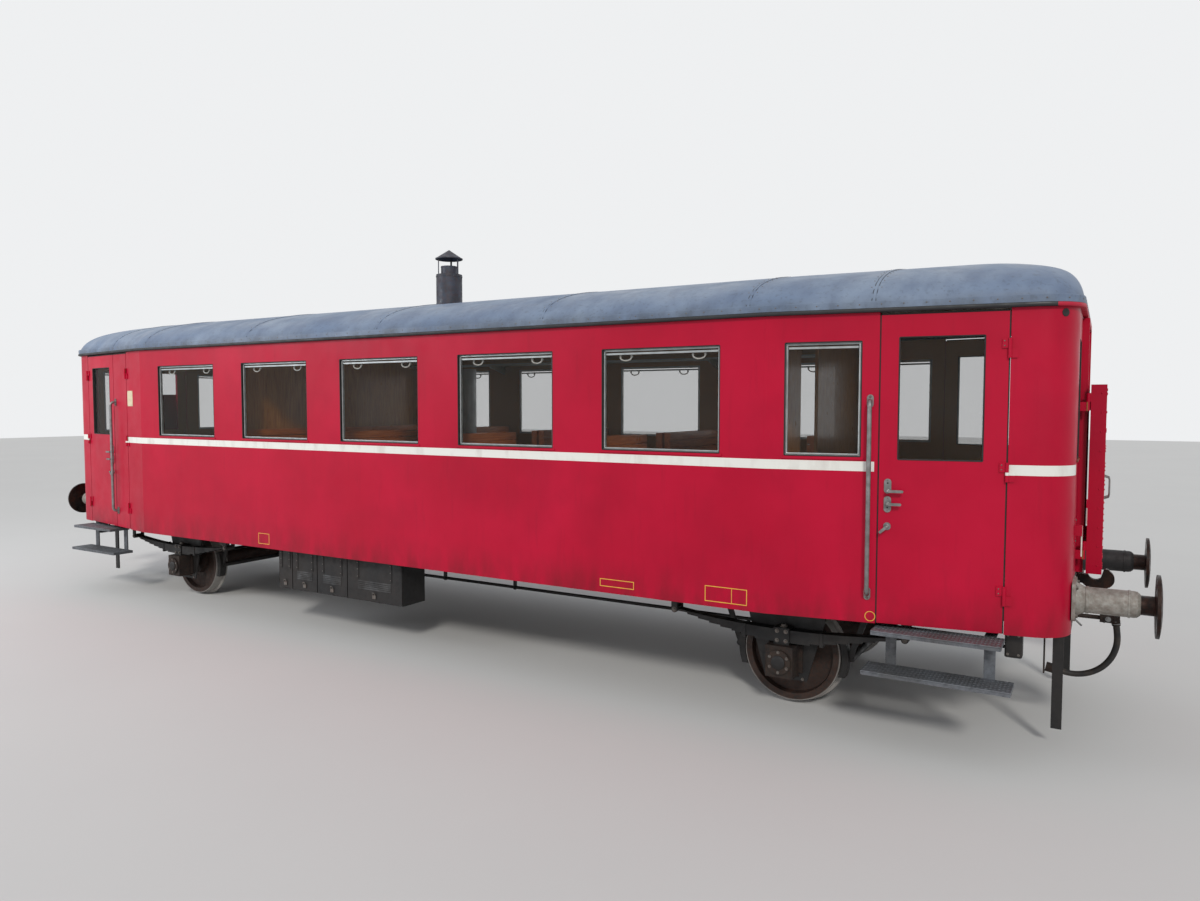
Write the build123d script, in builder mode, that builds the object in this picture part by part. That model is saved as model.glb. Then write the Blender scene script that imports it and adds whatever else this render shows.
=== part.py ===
from build123d import *
from math import atan, cos, radians, sin, sqrt, tan
import os

os.makedirs("parts", exist_ok=True)

# Two-axle passenger coach for a light railway, with doors at both ends and a luggage room.
# X runs along the coach, Y across it (near side negative), Z up.
# The origin lies under the middle of the coach, on the plane that the wheel flanges touch.

# Wheelsets
flange_depth = 28.0
flange_back = 14.0
flange_front = 18.0
tread_radius = 380.0
wheel_back_y = 680.0
tyre_width = 135.0
rim_depth = 56.0
web_root = 58.0
web_thick = 22.0
hub_radius = 130.0
hub_stand = 12.0
wheelbase = 7500.0
axle_radius = 75.0
journal_radius = 55.0
journal_end_y = 1090.0
rail_z = flange_depth
axle_z = flange_depth + tread_radius
axle_x = wheelbase / 2

# Body plan: parallel sides, then both ends taper in to a rounded corner
half_width = 1475.0
kink_x = 3750.0
body_end_x = 5656.0
taper_inset = 309.0
corner_radius = 250.0
wall = 45.0
taper_slope = taper_inset / (body_end_x - kink_x)
taper_angle = atan(taper_slope)
end_half_width = half_width - taper_inset

# Body levels
body_bottom_z = rail_z + 826.0
floor_z = rail_z + 1150.0
floor_depth = 60.0
eave_z = rail_z + 2925.0
cantrail_height = 40.0
roof_base_z = eave_z + cantrail_height
roof_rise = 385.0
roof_end_fall = 550.0
roof_overhang = 22.0
roof_sheet = 40.0

# Openings in the side walls
window_pitch = 1455.0
window_width = 995.0
window_sill_z = rail_z + 1954.0
window_head_z = rail_z + 2741.0
window_corner = 10.0
window_count = 5
narrow_window_x = 4135.0
narrow_window_width = 520.0
frame_width = 22.0
frame_corner = 4.0
frame_depth = 20.0
frame_recess = 22.0
glass_thickness = 6.0
window_height = window_head_z - window_sill_z
window_mid_z = (window_head_z + window_sill_z) / 2

# Side doors, measured along the tapered wall
door_inner_x = 4505.0
door_outer_x = 5278.0
luggage_leaf_x = 4130.0
panel_gap = 10.0
leaf_thickness = 40.0
door_head_gap = 20.0
door_foot_gap = 6.0
door_top_z = eave_z - door_head_gap
door_bottom_z = body_bottom_z + door_foot_gap
door_window_width = 527.0
door_window_sill_z = rail_z + 1940.0
door_window_head_z = rail_z + 2760.0
door_window_shift = -11.0
hinge_offset = 14.0
hinge_radius = 11.0
hinge_pin_radius = 5.0
hinge_length = 62.0
hinge_play = 0.4
hinge_reach = 45.0
hinge_flap = 10.0
hinge_flap_start = 5.0
hinge_pin_length = 48.0
hinge_heights = (rail_z + 1078.0, rail_z + 1878.0, rail_z + 2670.0)

# End walls and gangway
gangway_half_width = 330.0
gangway_top_z = rail_z + 2870.0
gangway_frame = 42.0
gangway_frame_depth = 44.0
gangway_hinge_heights = (rail_z + 1320.0, rail_z + 1900.0, rail_z + 2670.0)
gangway_door_gap = 6.0
gangway_door_bottom_z = floor_z + gangway_door_gap
end_wall_bottom_z = rail_z + 1132.0
end_window_width = 340.0
end_window_post = 66.0
end_panel_y = end_half_width - corner_radius
end_window_y = end_panel_y - end_window_post - end_window_width / 2
gangway_window_width = 380.0
guard_hinge_y = 450.0
guard_stand = 48.0
guard_hinge_x = body_end_x + guard_stand
guard_hinge_heights = (rail_z + 1300.0, rail_z + 2330.0)
guard_depth = 96.0
guard_drop = 12.0
guard_bottom_z = floor_z - guard_drop
guard_top_z = rail_z + 2450.0
guard_plate = 8.0
guard_gap = 16.0
guard_width = 434.0
guard_mid_y = 225.0

# Underframe
buffer_spacing = 1750.0
sole_web_y = 965.0
sole_web = 12.0
sole_flange = 75.0
sole_height = 220.0
headstock_web = 14.0
sole_end_x = body_end_x - wall
floor_under_z = floor_z - floor_depth
sole_bottom_z = floor_under_z - sole_height
headstock_half_width = 910.0
headstock_bottom_z = rail_z + 835.0
bearer_height = 140.0
bearer_width = 60.0
bearer_web = 8.0
end_bearer_x = 5520.0
strut_places = (-buffer_spacing / 2, -220.0, 220.0, buffer_spacing / 2)
brake_bearer_x = 4350.0

# Buffers and draw gear
buffer_z = rail_z + 1040.0
buffer_face_x = 6150.0
buffer_head_radius = 200.0
buffer_sleeve_radius = 85.0
buffer_sleeve_end_x = 6036.0
buffer_plunger_radius = 62.0
buffer_flange_width = 290.0
buffer_flange_height = 250.0
buffer_foot_flare = 25.0
buffer_dome = 36.0
buffer_bore_x = 5760.0
buffer_play = 0.5
buffer_plate = 20.0
buffer_crown = 12.0
buffer_flat_radius = 90.0
buffer_flange_depth = 22.0
hook_z = rail_z + 1030.0
hook_reach_x = 5900.0
hook_thickness = 46.0
hook_plate_width = 190.0
hook_plate_height = 150.0
hook_plate = 14.0

# Running gear
spring_y = 1012.0
box_half_length = 105.0
box_half_height = 120.0
box_inner_y = 900.0
box_outer_y = 1120.0
box_play = 1.0
box_lip = 15.0
box_lip_reach = 30.0
box_cover_radius = 92.0
box_cover = 18.0
journal_play = 0.5
journal_end_gap = 6.0
guard_iron_y = sole_web_y - sole_web
guard_iron = 14.0
guard_top_half = 350.0
guard_foot_half = 165.0
guard_foot_z = axle_z - 170.0
guard_stay = 28.0
guard_slot_top_z = axle_z + 200.0
spring_half_length = 880.0
spring_rise = 55.0
leaf_count = 8
leaf_thick = 12.0
leaf_width = 90.0
buckle_half_length = 60.0
spring_buckle_wall = 16.0
spring_buckle_side = 10.0
eye_radius = 26.0
eye_pin_radius = 15.0
pin_play = 0.4
link_thick = 14.0
hanger_slot = 40.0
hanger_block = 60.0

# Inside
partition_thickness = 30.0
luggage_partition_x = -1.5 * window_pitch
vestibule_partition_x = 3655.0
aisle_near_y = -410.0
aisle_far_y = 70.0
seat_height = 430.0
seat_depth = 420.0
bench_back_top_z = rail_z + 2040.0
slat_thick = 22.0
slat_gap = 9.0
seat_slats = 6
seat_slat_pitch = 58.0
back_slats = 5
back_slat_pitch = 76.0
bench_side = 40.0
bench_foot_set = 60.0
bench_wall_y = 1420.0
doorway_width = 480.0
doorway_height = 1720.0
stove_clear = 60.0
stove_x = -390.0
stove_y = 110.0
stove_radius = 215.0
stove_top_z = rail_z + 2700.0
chimney_radius = 140.0
chimney_top_z = rail_z + 3720.0
chimney_wall = 5.0
flashing = 35.0
flue_radius = 88.0
flue_top_z = rail_z + 3810.0
cap_radius = 145.0
cap_rim_z = rail_z + 3895.0
cap_top_z = rail_z + 3990.0
strut_circle = 120.0
strut_width = 20.0
strut_count = 3

# Steps and rails
step_front_y = 1450.0
step_depth = 235.0
step_frame = 30.0
step_hanger = 12.0
step_strap = 70.0
step_strap_inset = 86.0
upper_step_z = rail_z + 800.0
lower_step_z = rail_z + 520.0
upper_step_length = 796.0
lower_step_length = 920.0
grab_radius = 15.0
grab_x = 4447.0
grab_top_z = rail_z + 2335.0
grab_bottom_z = rail_z + 1028.0
grab_stand_off = 62.0
grab_bend = 38.0
grab_foot_radius = 21.0
grab_foot_span = 44.0
grab_foot = 8.0

# Door handles: two plates and a round boss, each with a lever.
# Each entry: spindle above the rail, middle of the plate above the spindle, height of the plate,
# length of the lever and its turn away from the hinge side
handle_table = (
    (1733.0, 32.0, 98.0, 92.0, 0.0),
    (1646.0, -4.0, 108.0, 80.0, 0.0),
    (1494.0, 0.0, 50.0, 55.0, 221.0),
)
handle_set_back = 62.0
handle_plate_width = 46.0
handle_plate = 7.0
handle_radius = 9.0
handle_stand_off = 34.0

# Luggage racks
rack_z = rail_z + 2800.0
rack_rod = 18.0
rack_rods = 6
rack_pitch = 52.0
rack_reach = 300.0
rack_drop = 110.0
rack_bracket = 24.0

# Battery boxes: bottom, depth, and the seams between the bays along the coach
battery_bottom_z = rail_z + 400.0
battery_set_back = 147.0
battery_bays = (-1590.0, -1380.0, -1010.0, -580.0, 150.0)
battery_seam = 12.0
battery_door = 8.0

# Brakes
shoe_clear = 8.0
shoe_thick = 48.0
shoe_height = 290.0
shoe_width = 80.0
shoe_y = 765.0
brake_hanger = 22.0
brake_beam_radius = 26.0
pull_rod_radius = 16.0
pull_strap = 20.0
vessel_saddle = 15.0
vessel_end = 60.0

# Brake hoses
hose_y = 350.0
hose_radius = 21.0
hose_share = 0.45
nipple_length = 45.0
nipple_radius = 27.0
cock_length = 95.0
cock_radius = 32.0
pipe_radius = 15.0
pipe_start_x = 5440.0
head_radius = 34.0
head_gap = 0.3
rest_x = 5470.0
rest_width = 50.0
rest_thick = 10.0

rail_guard_y = 750.0
rail_guard_width = 66.0
rail_guard_x = sole_end_x - rail_guard_width / 2
rail_guard_thick = 16.0
rail_guard_bottom_z = rail_z + 110.0

taper_plane = Plane(
    origin=(kink_x, -half_width, 0),
    x_dir=(cos(taper_angle), sin(taper_angle), 0),
    z_dir=(sin(taper_angle), -cos(taper_angle), 0),
)


def along(x):
    """Distance along the tapered wall from the kink to the cross plane at x."""
    return (x - kink_x) / cos(taper_angle)


def body_plan(margin):
    """Plan of the body at its sides, grown outward by margin."""
    with BuildSketch() as plan:
        with BuildLine():
            Polyline(
                (kink_x, -half_width),
                (body_end_x, -end_half_width),
                (body_end_x, end_half_width),
                (kink_x, half_width),
                (-kink_x, half_width),
                (-body_end_x, end_half_width),
                (-body_end_x, -end_half_width),
                (-kink_x, -half_width),
                close=True,
            )
        make_face()
        fillet(plan.vertices().filter_by(lambda v: abs(v.X) > kink_x + 1), corner_radius)
        if margin:
            offset(amount=margin, kind=Kind.INTERSECTION)
    return plan.sketch


def roof_plan(fraction, sheet):
    """Level section of the roof at a share of its rise, for its outer or inner skin."""
    spread = sqrt(1 - fraction**2)
    rise = roof_rise - sheet
    section_half = (half_width + roof_overhang - sheet) * spread
    end_x = body_end_x + roof_overhang - sheet - roof_end_fall * (1 - spread)
    narrowing = taper_slope / half_width * (end_x - kink_x)
    end_half = section_half * (1 - narrowing)
    radius = min(corner_radius + roof_overhang + 0.6 * roof_end_fall * (1 - spread), 0.85 * end_half)
    with BuildSketch(Plane.XY.offset(roof_base_z + rise * fraction)) as plan:
        with BuildLine():
            Polyline(
                (kink_x, -section_half),
                (end_x, -end_half),
                (end_x, end_half),
                (kink_x, section_half),
                (-kink_x, section_half),
                (-end_x, end_half),
                (-end_x, -end_half),
                (-kink_x, -section_half),
                close=True,
            )
        make_face()
        fillet(plan.vertices().filter_by(lambda v: abs(v.X) > kink_x + 1), radius)
    return plan.sketch


def across(piece):
    """The piece's image on the other side of the coach."""
    return mirror(piece, about=Plane.XZ, mode=Mode.PRIVATE)


def endwise(piece):
    """The piece's image at the other end of the coach."""
    return mirror(piece, about=Plane.YZ, mode=Mode.PRIVATE)


def both_sides(piece):
    return [piece, across(piece)]


def both_ends(piece):
    return [piece, endwise(piece)]


def four_ways(piece):
    return both_sides(piece) + both_sides(endwise(piece))


# Shares of the rise at which the roof's level sections lie
roof_levels = (0.0, 0.4, 0.68, 0.87, 0.96, 0.992)
roof_top_z = roof_base_z + roof_rise * roof_levels[-1]
ceiling_z = roof_base_z + (roof_rise - roof_sheet) * roof_levels[-1]

outer_plan = body_plan(0)
inner_plan = body_plan(-wall)
cantrail_plan = body_plan(roof_overhang)
outer_roof_sections = [roof_plan(level, 0) for level in roof_levels]
inner_roof_sections = [roof_plan(level, roof_sheet) for level in roof_levels]

with BuildSketch() as wall_ring:
    add(outer_plan)
    add(inner_plan, mode=Mode.SUBTRACT)

# Floor
with BuildPart() as floor:
    with BuildSketch(Plane.XY.offset(floor_under_z)):
        add(inner_plan)
    extrude(amount=floor_depth)
floor.part.label = "floor"
export_step(floor.part, "parts/floor.step")

# Side walls between the kinks
window_places = [window_pitch * (k - (window_count - 1) / 2) for k in range(window_count)]

with BuildPart() as side_wall_near:
    with BuildSketch(Plane.XY.offset(body_bottom_z)):
        with Locations((0, -half_width + wall / 2)):
            Rectangle(2 * kink_x, wall)
    extrude(amount=eave_z - body_bottom_z)
    with BuildSketch(Plane.XZ.offset(half_width)):
        with Locations([(x, window_mid_z) for x in window_places]):
            RectangleRounded(window_width, window_height, window_corner)
    extrude(amount=-wall, mode=Mode.SUBTRACT)
side_wall_near.part.label = "side_wall_near"
export_step(side_wall_near.part, "parts/side_wall_near.step")

with BuildPart() as side_wall_far:
    add(across(side_wall_near.part))
side_wall_far.part.label = "side_wall_far"
export_step(side_wall_far.part, "parts/side_wall_far.step")


def knuckle(plane, outward, reach, z_low, z_high, bore):
    """Hinge barrel with its flap. The plane lies level, its origin on the seam at the panels' face
    and its x towards the jamb; reach is positive for a flap on the jamb, negative on the leaf."""
    start = hinge_flap_start if reach > 0 else -hinge_flap_start
    with BuildPart() as piece:
        with BuildSketch(plane.offset(z_low)):
            with Locations((0, outward * hinge_offset)):
                Circle(hinge_radius)
            with Locations(((reach + start) / 2, outward * hinge_flap / 2)):
                Rectangle(abs(reach - start), hinge_flap)
        extrude(amount=z_high - z_low)
        if bore:
            with BuildSketch(plane.offset(z_low)):
                with Locations((0, outward * hinge_offset)):
                    Circle(hinge_pin_radius + hinge_play)
            extrude(amount=hinge_pin_length + hinge_play, mode=Mode.SUBTRACT)
        else:
            with BuildSketch(plane.offset(z_high)):
                with Locations((0, outward * hinge_offset)):
                    Circle(hinge_pin_radius)
            extrude(amount=hinge_pin_length)
    return piece.part


def jamb_knuckles(plane, outward, heights):
    return [knuckle(plane, outward, hinge_reach, z - hinge_length, z, False) for z in heights]


def leaf_knuckles(plane, outward, heights):
    return [
        knuckle(plane, outward, -hinge_reach, z + hinge_play, z + hinge_length, True) for z in heights
    ]


# Level planes at the hinge seams, x towards the jamb
seam_point = taper_plane.from_local_coords((along(door_outer_x), 0, 0))
luggage_seam_point = taper_plane.from_local_coords((along(luggage_leaf_x), 0, 0))
wall_direction = taper_plane.x_dir
door_seam = Plane(origin=seam_point, x_dir=wall_direction, z_dir=(0, 0, 1))
luggage_seam = Plane(origin=luggage_seam_point, x_dir=wall_direction * -1, z_dir=(0, 0, 1))
gangway_seam = Plane(
    origin=(body_end_x - wall, -gangway_half_width + panel_gap / 2, 0), x_dir=(0, -1, 0), z_dir=(0, 0, 1)
)
door_knuckles = jamb_knuckles(door_seam, -1, hinge_heights)
luggage_knuckles = jamb_knuckles(luggage_seam, 1, hinge_heights)
gangway_knuckles = jamb_knuckles(gangway_seam, -1, gangway_hinge_heights)

# Tapered walls from the kink to the doors: with a narrow window at the right end,
# short and plain before the luggage leaves at the left end
window_panel_edge = door_inner_x - panel_gap / 2
plain_panel_edge = luggage_leaf_x - panel_gap / 2

with BuildPart() as window_panel:
    with BuildSketch(Plane.XY.offset(body_bottom_z)):
        add(wall_ring.sketch)
        with Locations(((kink_x + window_panel_edge) / 2, -half_width)):
            Rectangle(window_panel_edge - kink_x, half_width, mode=Mode.INTERSECT)
    extrude(amount=eave_z - body_bottom_z)
    with BuildSketch(taper_plane):
        with Locations((along(narrow_window_x), window_mid_z)):
            RectangleRounded(narrow_window_width, window_height, window_corner)
    extrude(amount=-wall, mode=Mode.SUBTRACT)

with BuildPart() as plain_panel:
    with BuildSketch(Plane.XY.offset(body_bottom_z)):
        add(wall_ring.sketch)
        with Locations(((kink_x + plain_panel_edge) / 2, -half_width)):
            Rectangle(plain_panel_edge - kink_x, half_width, mode=Mode.INTERSECT)
    extrude(amount=eave_z - body_bottom_z)
    add(luggage_knuckles)

with BuildPart() as taper_panels:
    add(both_sides(window_panel.part))
    add(both_sides(endwise(plain_panel.part)))
taper_panels.part.label = "taper_panels"
export_step(taper_panels.part, "parts/taper_panels.step")


# Rounded corner posts from the doors round to the end walls, with the hinge halves that stay
corner_start_x = door_outer_x + panel_gap / 2

with BuildPart() as end_corners:
    with BuildSketch(Plane.XY.offset(body_bottom_z)):
        add(wall_ring.sketch)
        with Locations(((corner_start_x + body_end_x) / 2, -(half_width + end_panel_y) / 2)):
            Rectangle(body_end_x - corner_start_x, half_width - end_panel_y, mode=Mode.INTERSECT)
    extrude(amount=eave_z - body_bottom_z)
    add(door_knuckles)
    mirror(about=Plane.XZ)
    mirror(about=Plane.YZ)
end_corners.part.label = "end_corners"
export_step(end_corners.part, "parts/end_corners.step")

# Guard hinges: a foot on the end wall, a barrel and a pin at each height
with BuildPart() as guard_jamb:
    for height in guard_hinge_heights:
        with BuildSketch(Plane.XY.offset(height - hinge_length)):
            with Locations((guard_hinge_x - guard_stand / 2, -guard_hinge_y)):
                Rectangle(guard_stand, hinge_radius)
            with Locations((guard_hinge_x, -guard_hinge_y)):
                Circle(hinge_radius)
        extrude(amount=hinge_length)
        with BuildSketch(Plane.XY.offset(height)):
            with Locations((guard_hinge_x, -guard_hinge_y)):
                Circle(hinge_pin_radius)
        extrude(amount=hinge_pin_length)

# End walls with the gangway doorway, its raised frame and two windows
with BuildPart() as end_walls:
    with BuildSketch(Plane.YZ.offset(body_end_x)):
        with Locations((0, (eave_z + end_wall_bottom_z) / 2)):
            Rectangle(2 * end_panel_y, eave_z - end_wall_bottom_z)
        with Locations((0, (gangway_top_z + end_wall_bottom_z) / 2)):
            Rectangle(2 * gangway_half_width, gangway_top_z - end_wall_bottom_z, mode=Mode.SUBTRACT)
        with Locations([(side * end_window_y, window_mid_z) for side in (-1, 1)]):
            RectangleRounded(end_window_width, window_height, window_corner, mode=Mode.SUBTRACT)
    extrude(amount=-wall)
    with BuildSketch(Plane.YZ.offset(body_end_x)):
        with Locations((0, (gangway_top_z + gangway_frame + end_wall_bottom_z) / 2)):
            Rectangle(
                2 * (gangway_half_width + gangway_frame), gangway_top_z + gangway_frame - end_wall_bottom_z
            )
        with Locations((0, (gangway_top_z + end_wall_bottom_z) / 2)):
            Rectangle(2 * gangway_half_width, gangway_top_z - end_wall_bottom_z, mode=Mode.SUBTRACT)
    extrude(amount=gangway_frame_depth)
    add(gangway_knuckles)
    add(both_sides(guard_jamb.part))
    add(end_walls.part.rotate(Axis.Z, 180))
end_walls.part.label = "end_walls"
export_step(end_walls.part, "parts/end_walls.step")

# Gutter rail that carries the roof round all the walls
with BuildPart() as cantrail:
    with BuildSketch(Plane.XY.offset(eave_z)):
        add(cantrail_plan)
        add(inner_plan, mode=Mode.SUBTRACT)
    extrude(amount=cantrail_height)
cantrail.part.label = "cantrail"
export_step(cantrail.part, "parts/cantrail.step")

# Domed roof, hipped to both ends, hollow below
with BuildPart() as roof_space:
    add(inner_roof_sections)
    loft()

with BuildPart() as roof:
    add(outer_roof_sections)
    loft()
    add(roof_space.part, mode=Mode.SUBTRACT)
roof.part.label = "roof"
export_step(roof.part, "parts/roof.step")


def door_leaf(near_x, far_x, has_window):
    """Flat side door on the tapered wall between two seams, flush with the outside."""
    start, end = along(near_x) + panel_gap / 2, along(far_x) - panel_gap / 2
    with BuildPart() as leaf:
        with BuildSketch(taper_plane):
            with Locations(((start + end) / 2, (door_top_z + door_bottom_z) / 2)):
                Rectangle(end - start, door_top_z - door_bottom_z)
            if has_window:
                with Locations((door_window_s, (door_window_head_z + door_window_sill_z) / 2)):
                    RectangleRounded(
                        door_window_width, door_window_head_z - door_window_sill_z, window_corner,
                        mode=Mode.SUBTRACT,
                    )
        extrude(amount=-leaf_thickness)
    return leaf.part


def grab_rail(s):
    """Upright rail with bent ends and oblong feet on the tapered wall, at the distance s along it."""
    foot = taper_plane.from_local_coords((s, grab_bottom_z, 0))
    out = foot + taper_plane.z_dir * grab_stand_off
    rise = Vector(0, 0, grab_top_z - grab_bottom_z)
    with BuildPart() as rail:
        with BuildLine() as path:
            FilletPolyline(foot, out, out + rise, foot + rise, radius=grab_bend)
        with BuildSketch(Plane(origin=foot, z_dir=taper_plane.z_dir)):
            Circle(grab_radius)
        sweep()
        with BuildSketch(taper_plane):
            with Locations([(s, z) for z in (grab_bottom_z, grab_top_z)]):
                SlotCenterToCenter(grab_foot_span, 2 * grab_foot_radius, rotation=90)
        extrude(amount=grab_foot)
    return rail.part


# Side doors, all drawn at the near right and mirrored to their places
door_window_s = (along(door_inner_x) + along(door_outer_x)) / 2 + door_window_shift
handle_s = along(door_inner_x) + handle_set_back
window_leaf = door_leaf(door_inner_x, door_outer_x, True)
plain_leaf = door_leaf(luggage_leaf_x, door_inner_x, False)
plain_leaf_rail = grab_rail(along(grab_x))
door_leaf_knuckles = leaf_knuckles(door_seam, -1, hinge_heights)
luggage_leaf_knuckles = leaf_knuckles(luggage_seam, 1, hinge_heights)
gangway_leaf_knuckles = leaf_knuckles(gangway_seam, -1, gangway_hinge_heights)

with BuildPart() as main_leaf:
    add(window_leaf)
    add(door_leaf_knuckles)
    for spindle, plate_rise, plate_height, lever, turn in handle_table:
        with BuildSketch(taper_plane):
            with Locations((handle_s, rail_z + spindle + plate_rise)):
                RectangleRounded(handle_plate_width, plate_height, handle_plate_width / 2 - 1)
        extrude(amount=handle_plate)
        with BuildSketch(taper_plane.offset(handle_plate)):
            with Locations((handle_s, rail_z + spindle)):
                Circle(handle_radius)
        extrude(amount=handle_stand_off)
        with BuildSketch(taper_plane.offset(handle_plate + handle_stand_off)):
            with Locations(Location((handle_s, rail_z + spindle, 0), (0, 0, turn))):
                with Locations((lever / 2, 0)):
                    SlotCenterToCenter(lever, 2 * handle_radius)
        extrude(amount=handle_radius)

with BuildPart() as luggage_leaf:
    add(plain_leaf)
    add(luggage_leaf_knuckles)
    add(plain_leaf_rail)

with BuildPart() as door_pane:
    with BuildSketch(taper_plane.offset((glass_thickness - leaf_thickness) / 2)):
        with Locations((door_window_s, (door_window_head_z + door_window_sill_z) / 2)):
            RectangleRounded(
                door_window_width, door_window_head_z - door_window_sill_z, window_corner
            )
    extrude(amount=-glass_thickness)

# Each entry: name, end of the coach, side of the coach
door_table = (
    ("right_near", 1, -1),
    ("right_far", 1, 1),
    ("left_near", -1, -1),
    ("left_far", -1, 1),
)


def placed(piece, end, side):
    """The near right piece, mirrored to the given end and side."""
    turned = piece if end > 0 else endwise(piece)
    return turned if side < 0 else across(turned)


for name, end, side in door_table:
    with BuildPart() as side_door:
        add(placed(main_leaf.part, end, side))
    side_door.part.label = f"door_{name}"
    export_step(side_door.part, f"parts/door_{name}.step")
    with BuildPart() as side_door_glass:
        add(placed(door_pane.part, end, side))
    side_door_glass.part.label = f"door_glass_{name}"
    export_step(side_door_glass.part, f"parts/door_glass_{name}.step")

for name, end, side in door_table[2:]:
    with BuildPart() as second_leaf:
        add(placed(luggage_leaf.part, end, side))
    second_leaf.part.label = f"luggage_{name}"
    export_step(second_leaf.part, f"parts/luggage_{name}.step")

# Gangway doors, hung on the inside of the end walls
with BuildPart() as gangway_leaf:
    with BuildSketch(Plane.YZ.offset(body_end_x - wall)):
        with Locations((0, (gangway_top_z - panel_gap + gangway_door_bottom_z) / 2)):
            Rectangle(
                2 * (gangway_half_width - panel_gap), gangway_top_z - panel_gap - gangway_door_bottom_z
            )
        with Locations((0, (window_head_z + window_sill_z) / 2)):
            RectangleRounded(gangway_window_width, window_height, window_corner, mode=Mode.SUBTRACT)
    extrude(amount=leaf_thickness)
    add(gangway_leaf_knuckles)

with BuildPart() as gangway_pane:
    with BuildSketch(Plane.YZ.offset(body_end_x - wall + (leaf_thickness - glass_thickness) / 2)):
        with Locations((0, window_mid_z)):
            RectangleRounded(gangway_window_width, window_height, window_corner)
    extrude(amount=glass_thickness)

# Guard leaf in front of the gangway: a pressed tray with its open side to the coach
guard_height = guard_top_z - guard_bottom_z
guard_inner_x = guard_hinge_x + guard_gap
with BuildPart() as guard_leaf:
    with BuildSketch(Plane.XY.offset(guard_bottom_z)):
        with Locations((guard_inner_x + guard_depth / 2, -guard_mid_y)):
            Rectangle(guard_depth, guard_width)
    extrude(amount=guard_height)
    with BuildSketch(Plane.XY.offset(guard_bottom_z + guard_plate)):
        with Locations((guard_inner_x + (guard_depth - guard_plate) / 2, -guard_mid_y)):
            Rectangle(guard_depth - guard_plate, guard_width - 2 * guard_plate)
    extrude(amount=guard_height - 2 * guard_plate, mode=Mode.SUBTRACT)
    for height in guard_hinge_heights:
        with BuildSketch(Plane.XY.offset(height + hinge_play)):
            with Locations((guard_hinge_x, -guard_hinge_y)):
                Circle(hinge_radius)
            with Locations((guard_inner_x - guard_gap / 2 + guard_plate / 4, -guard_hinge_y + guard_plate)):
                Rectangle(guard_gap + guard_plate / 2, 2 * guard_plate)
        extrude(amount=hinge_length - hinge_play)
        with BuildSketch(Plane.XY.offset(height)):
            with Locations((guard_hinge_x, -guard_hinge_y)):
                Circle(hinge_pin_radius + hinge_play)
        extrude(amount=hinge_pin_length + hinge_play, mode=Mode.SUBTRACT)

for name, angle in (("right", 0), ("left", 180)):
    with BuildPart() as gangway_door:
        add(gangway_leaf.part.rotate(Axis.Z, angle))
    gangway_door.part.label = f"gangway_door_{name}"
    export_step(gangway_door.part, f"parts/gangway_door_{name}.step")
    with BuildPart() as gangway_glass:
        add(gangway_pane.part.rotate(Axis.Z, angle))
    gangway_glass.part.label = f"gangway_glass_{name}"
    export_step(gangway_glass.part, f"parts/gangway_glass_{name}.step")

for name, end, side in door_table:
    with BuildPart() as guard:
        add(placed(guard_leaf.part, end, side))
    guard.part.label = f"guard_{name}"
    export_step(guard.part, f"parts/guard_{name}.step")

# Window frames and panes, set back in the wall openings


def window_ring(plane, places, width):
    """Frames for openings of one width on one wall."""
    with BuildPart() as ring:
        with BuildSketch(plane):
            with Locations([(place, window_mid_z) for place in places]):
                RectangleRounded(width, window_height, window_corner)
                RectangleRounded(
                    width - 2 * frame_width, window_height - 2 * frame_width, frame_corner,
                    mode=Mode.SUBTRACT,
                )
        extrude(amount=-frame_depth)
    return ring.part


def window_pane(plane, places, width):
    with BuildPart() as pane:
        with BuildSketch(plane):
            with Locations([(place, window_mid_z) for place in places]):
                RectangleRounded(width - 2 * frame_width, window_height - 2 * frame_width, frame_corner)
        extrude(amount=-glass_thickness)
    return pane.part


pane_inset = frame_recess + (frame_depth - glass_thickness) / 2

# Each entry: face of the wall, places of the windows along it, their width, images of the wall
window_table = (
    (Plane.XZ.offset(half_width), window_places, window_width, both_sides),
    (taper_plane, (along(narrow_window_x),), narrow_window_width, both_sides),
    (Plane.YZ.offset(body_end_x), (-end_window_y, end_window_y), end_window_width, both_ends),
)

rings = [
    image
    for face, places, width, images in window_table
    for image in images(window_ring(face.offset(-frame_recess), places, width))
]
with BuildPart() as window_frames:
    add(rings)
window_frames.part.label = "window_frames"
export_step(window_frames.part, "parts/window_frames.step")

side_panes = window_pane(Plane.XZ.offset(half_width - pane_inset), window_places, window_width)

with BuildPart() as window_glass_near:
    add(side_panes)
window_glass_near.part.label = "window_glass_near"
export_step(window_glass_near.part, "parts/window_glass_near.step")

with BuildPart() as window_glass_far:
    add(across(side_panes))
window_glass_far.part.label = "window_glass_far"
export_step(window_glass_far.part, "parts/window_glass_far.step")

end_panes = [
    image
    for face, places, width, images in window_table[1:]
    for image in images(window_pane(face.offset(-pane_inset), places, width))
]
with BuildPart() as end_glass:
    add(end_panes)
end_glass.part.label = "end_glass"
export_step(end_glass.part, "parts/end_glass.step")

# Underframe: two channel sole bars, cross bearers between them, a channel headstock at each end
def channel(plane, depth, height, web, flange):
    """Channel section on a plane, its web's back on the local y axis and its flanges along +x."""
    with BuildSketch(plane) as section:
        with Locations((depth / 2, 0)):
            Rectangle(depth, height)
        with Locations((depth / 2 + web / 2, 0)):
            Rectangle(depth - web, height - 2 * flange, mode=Mode.SUBTRACT)
    return section.sketch


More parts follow.
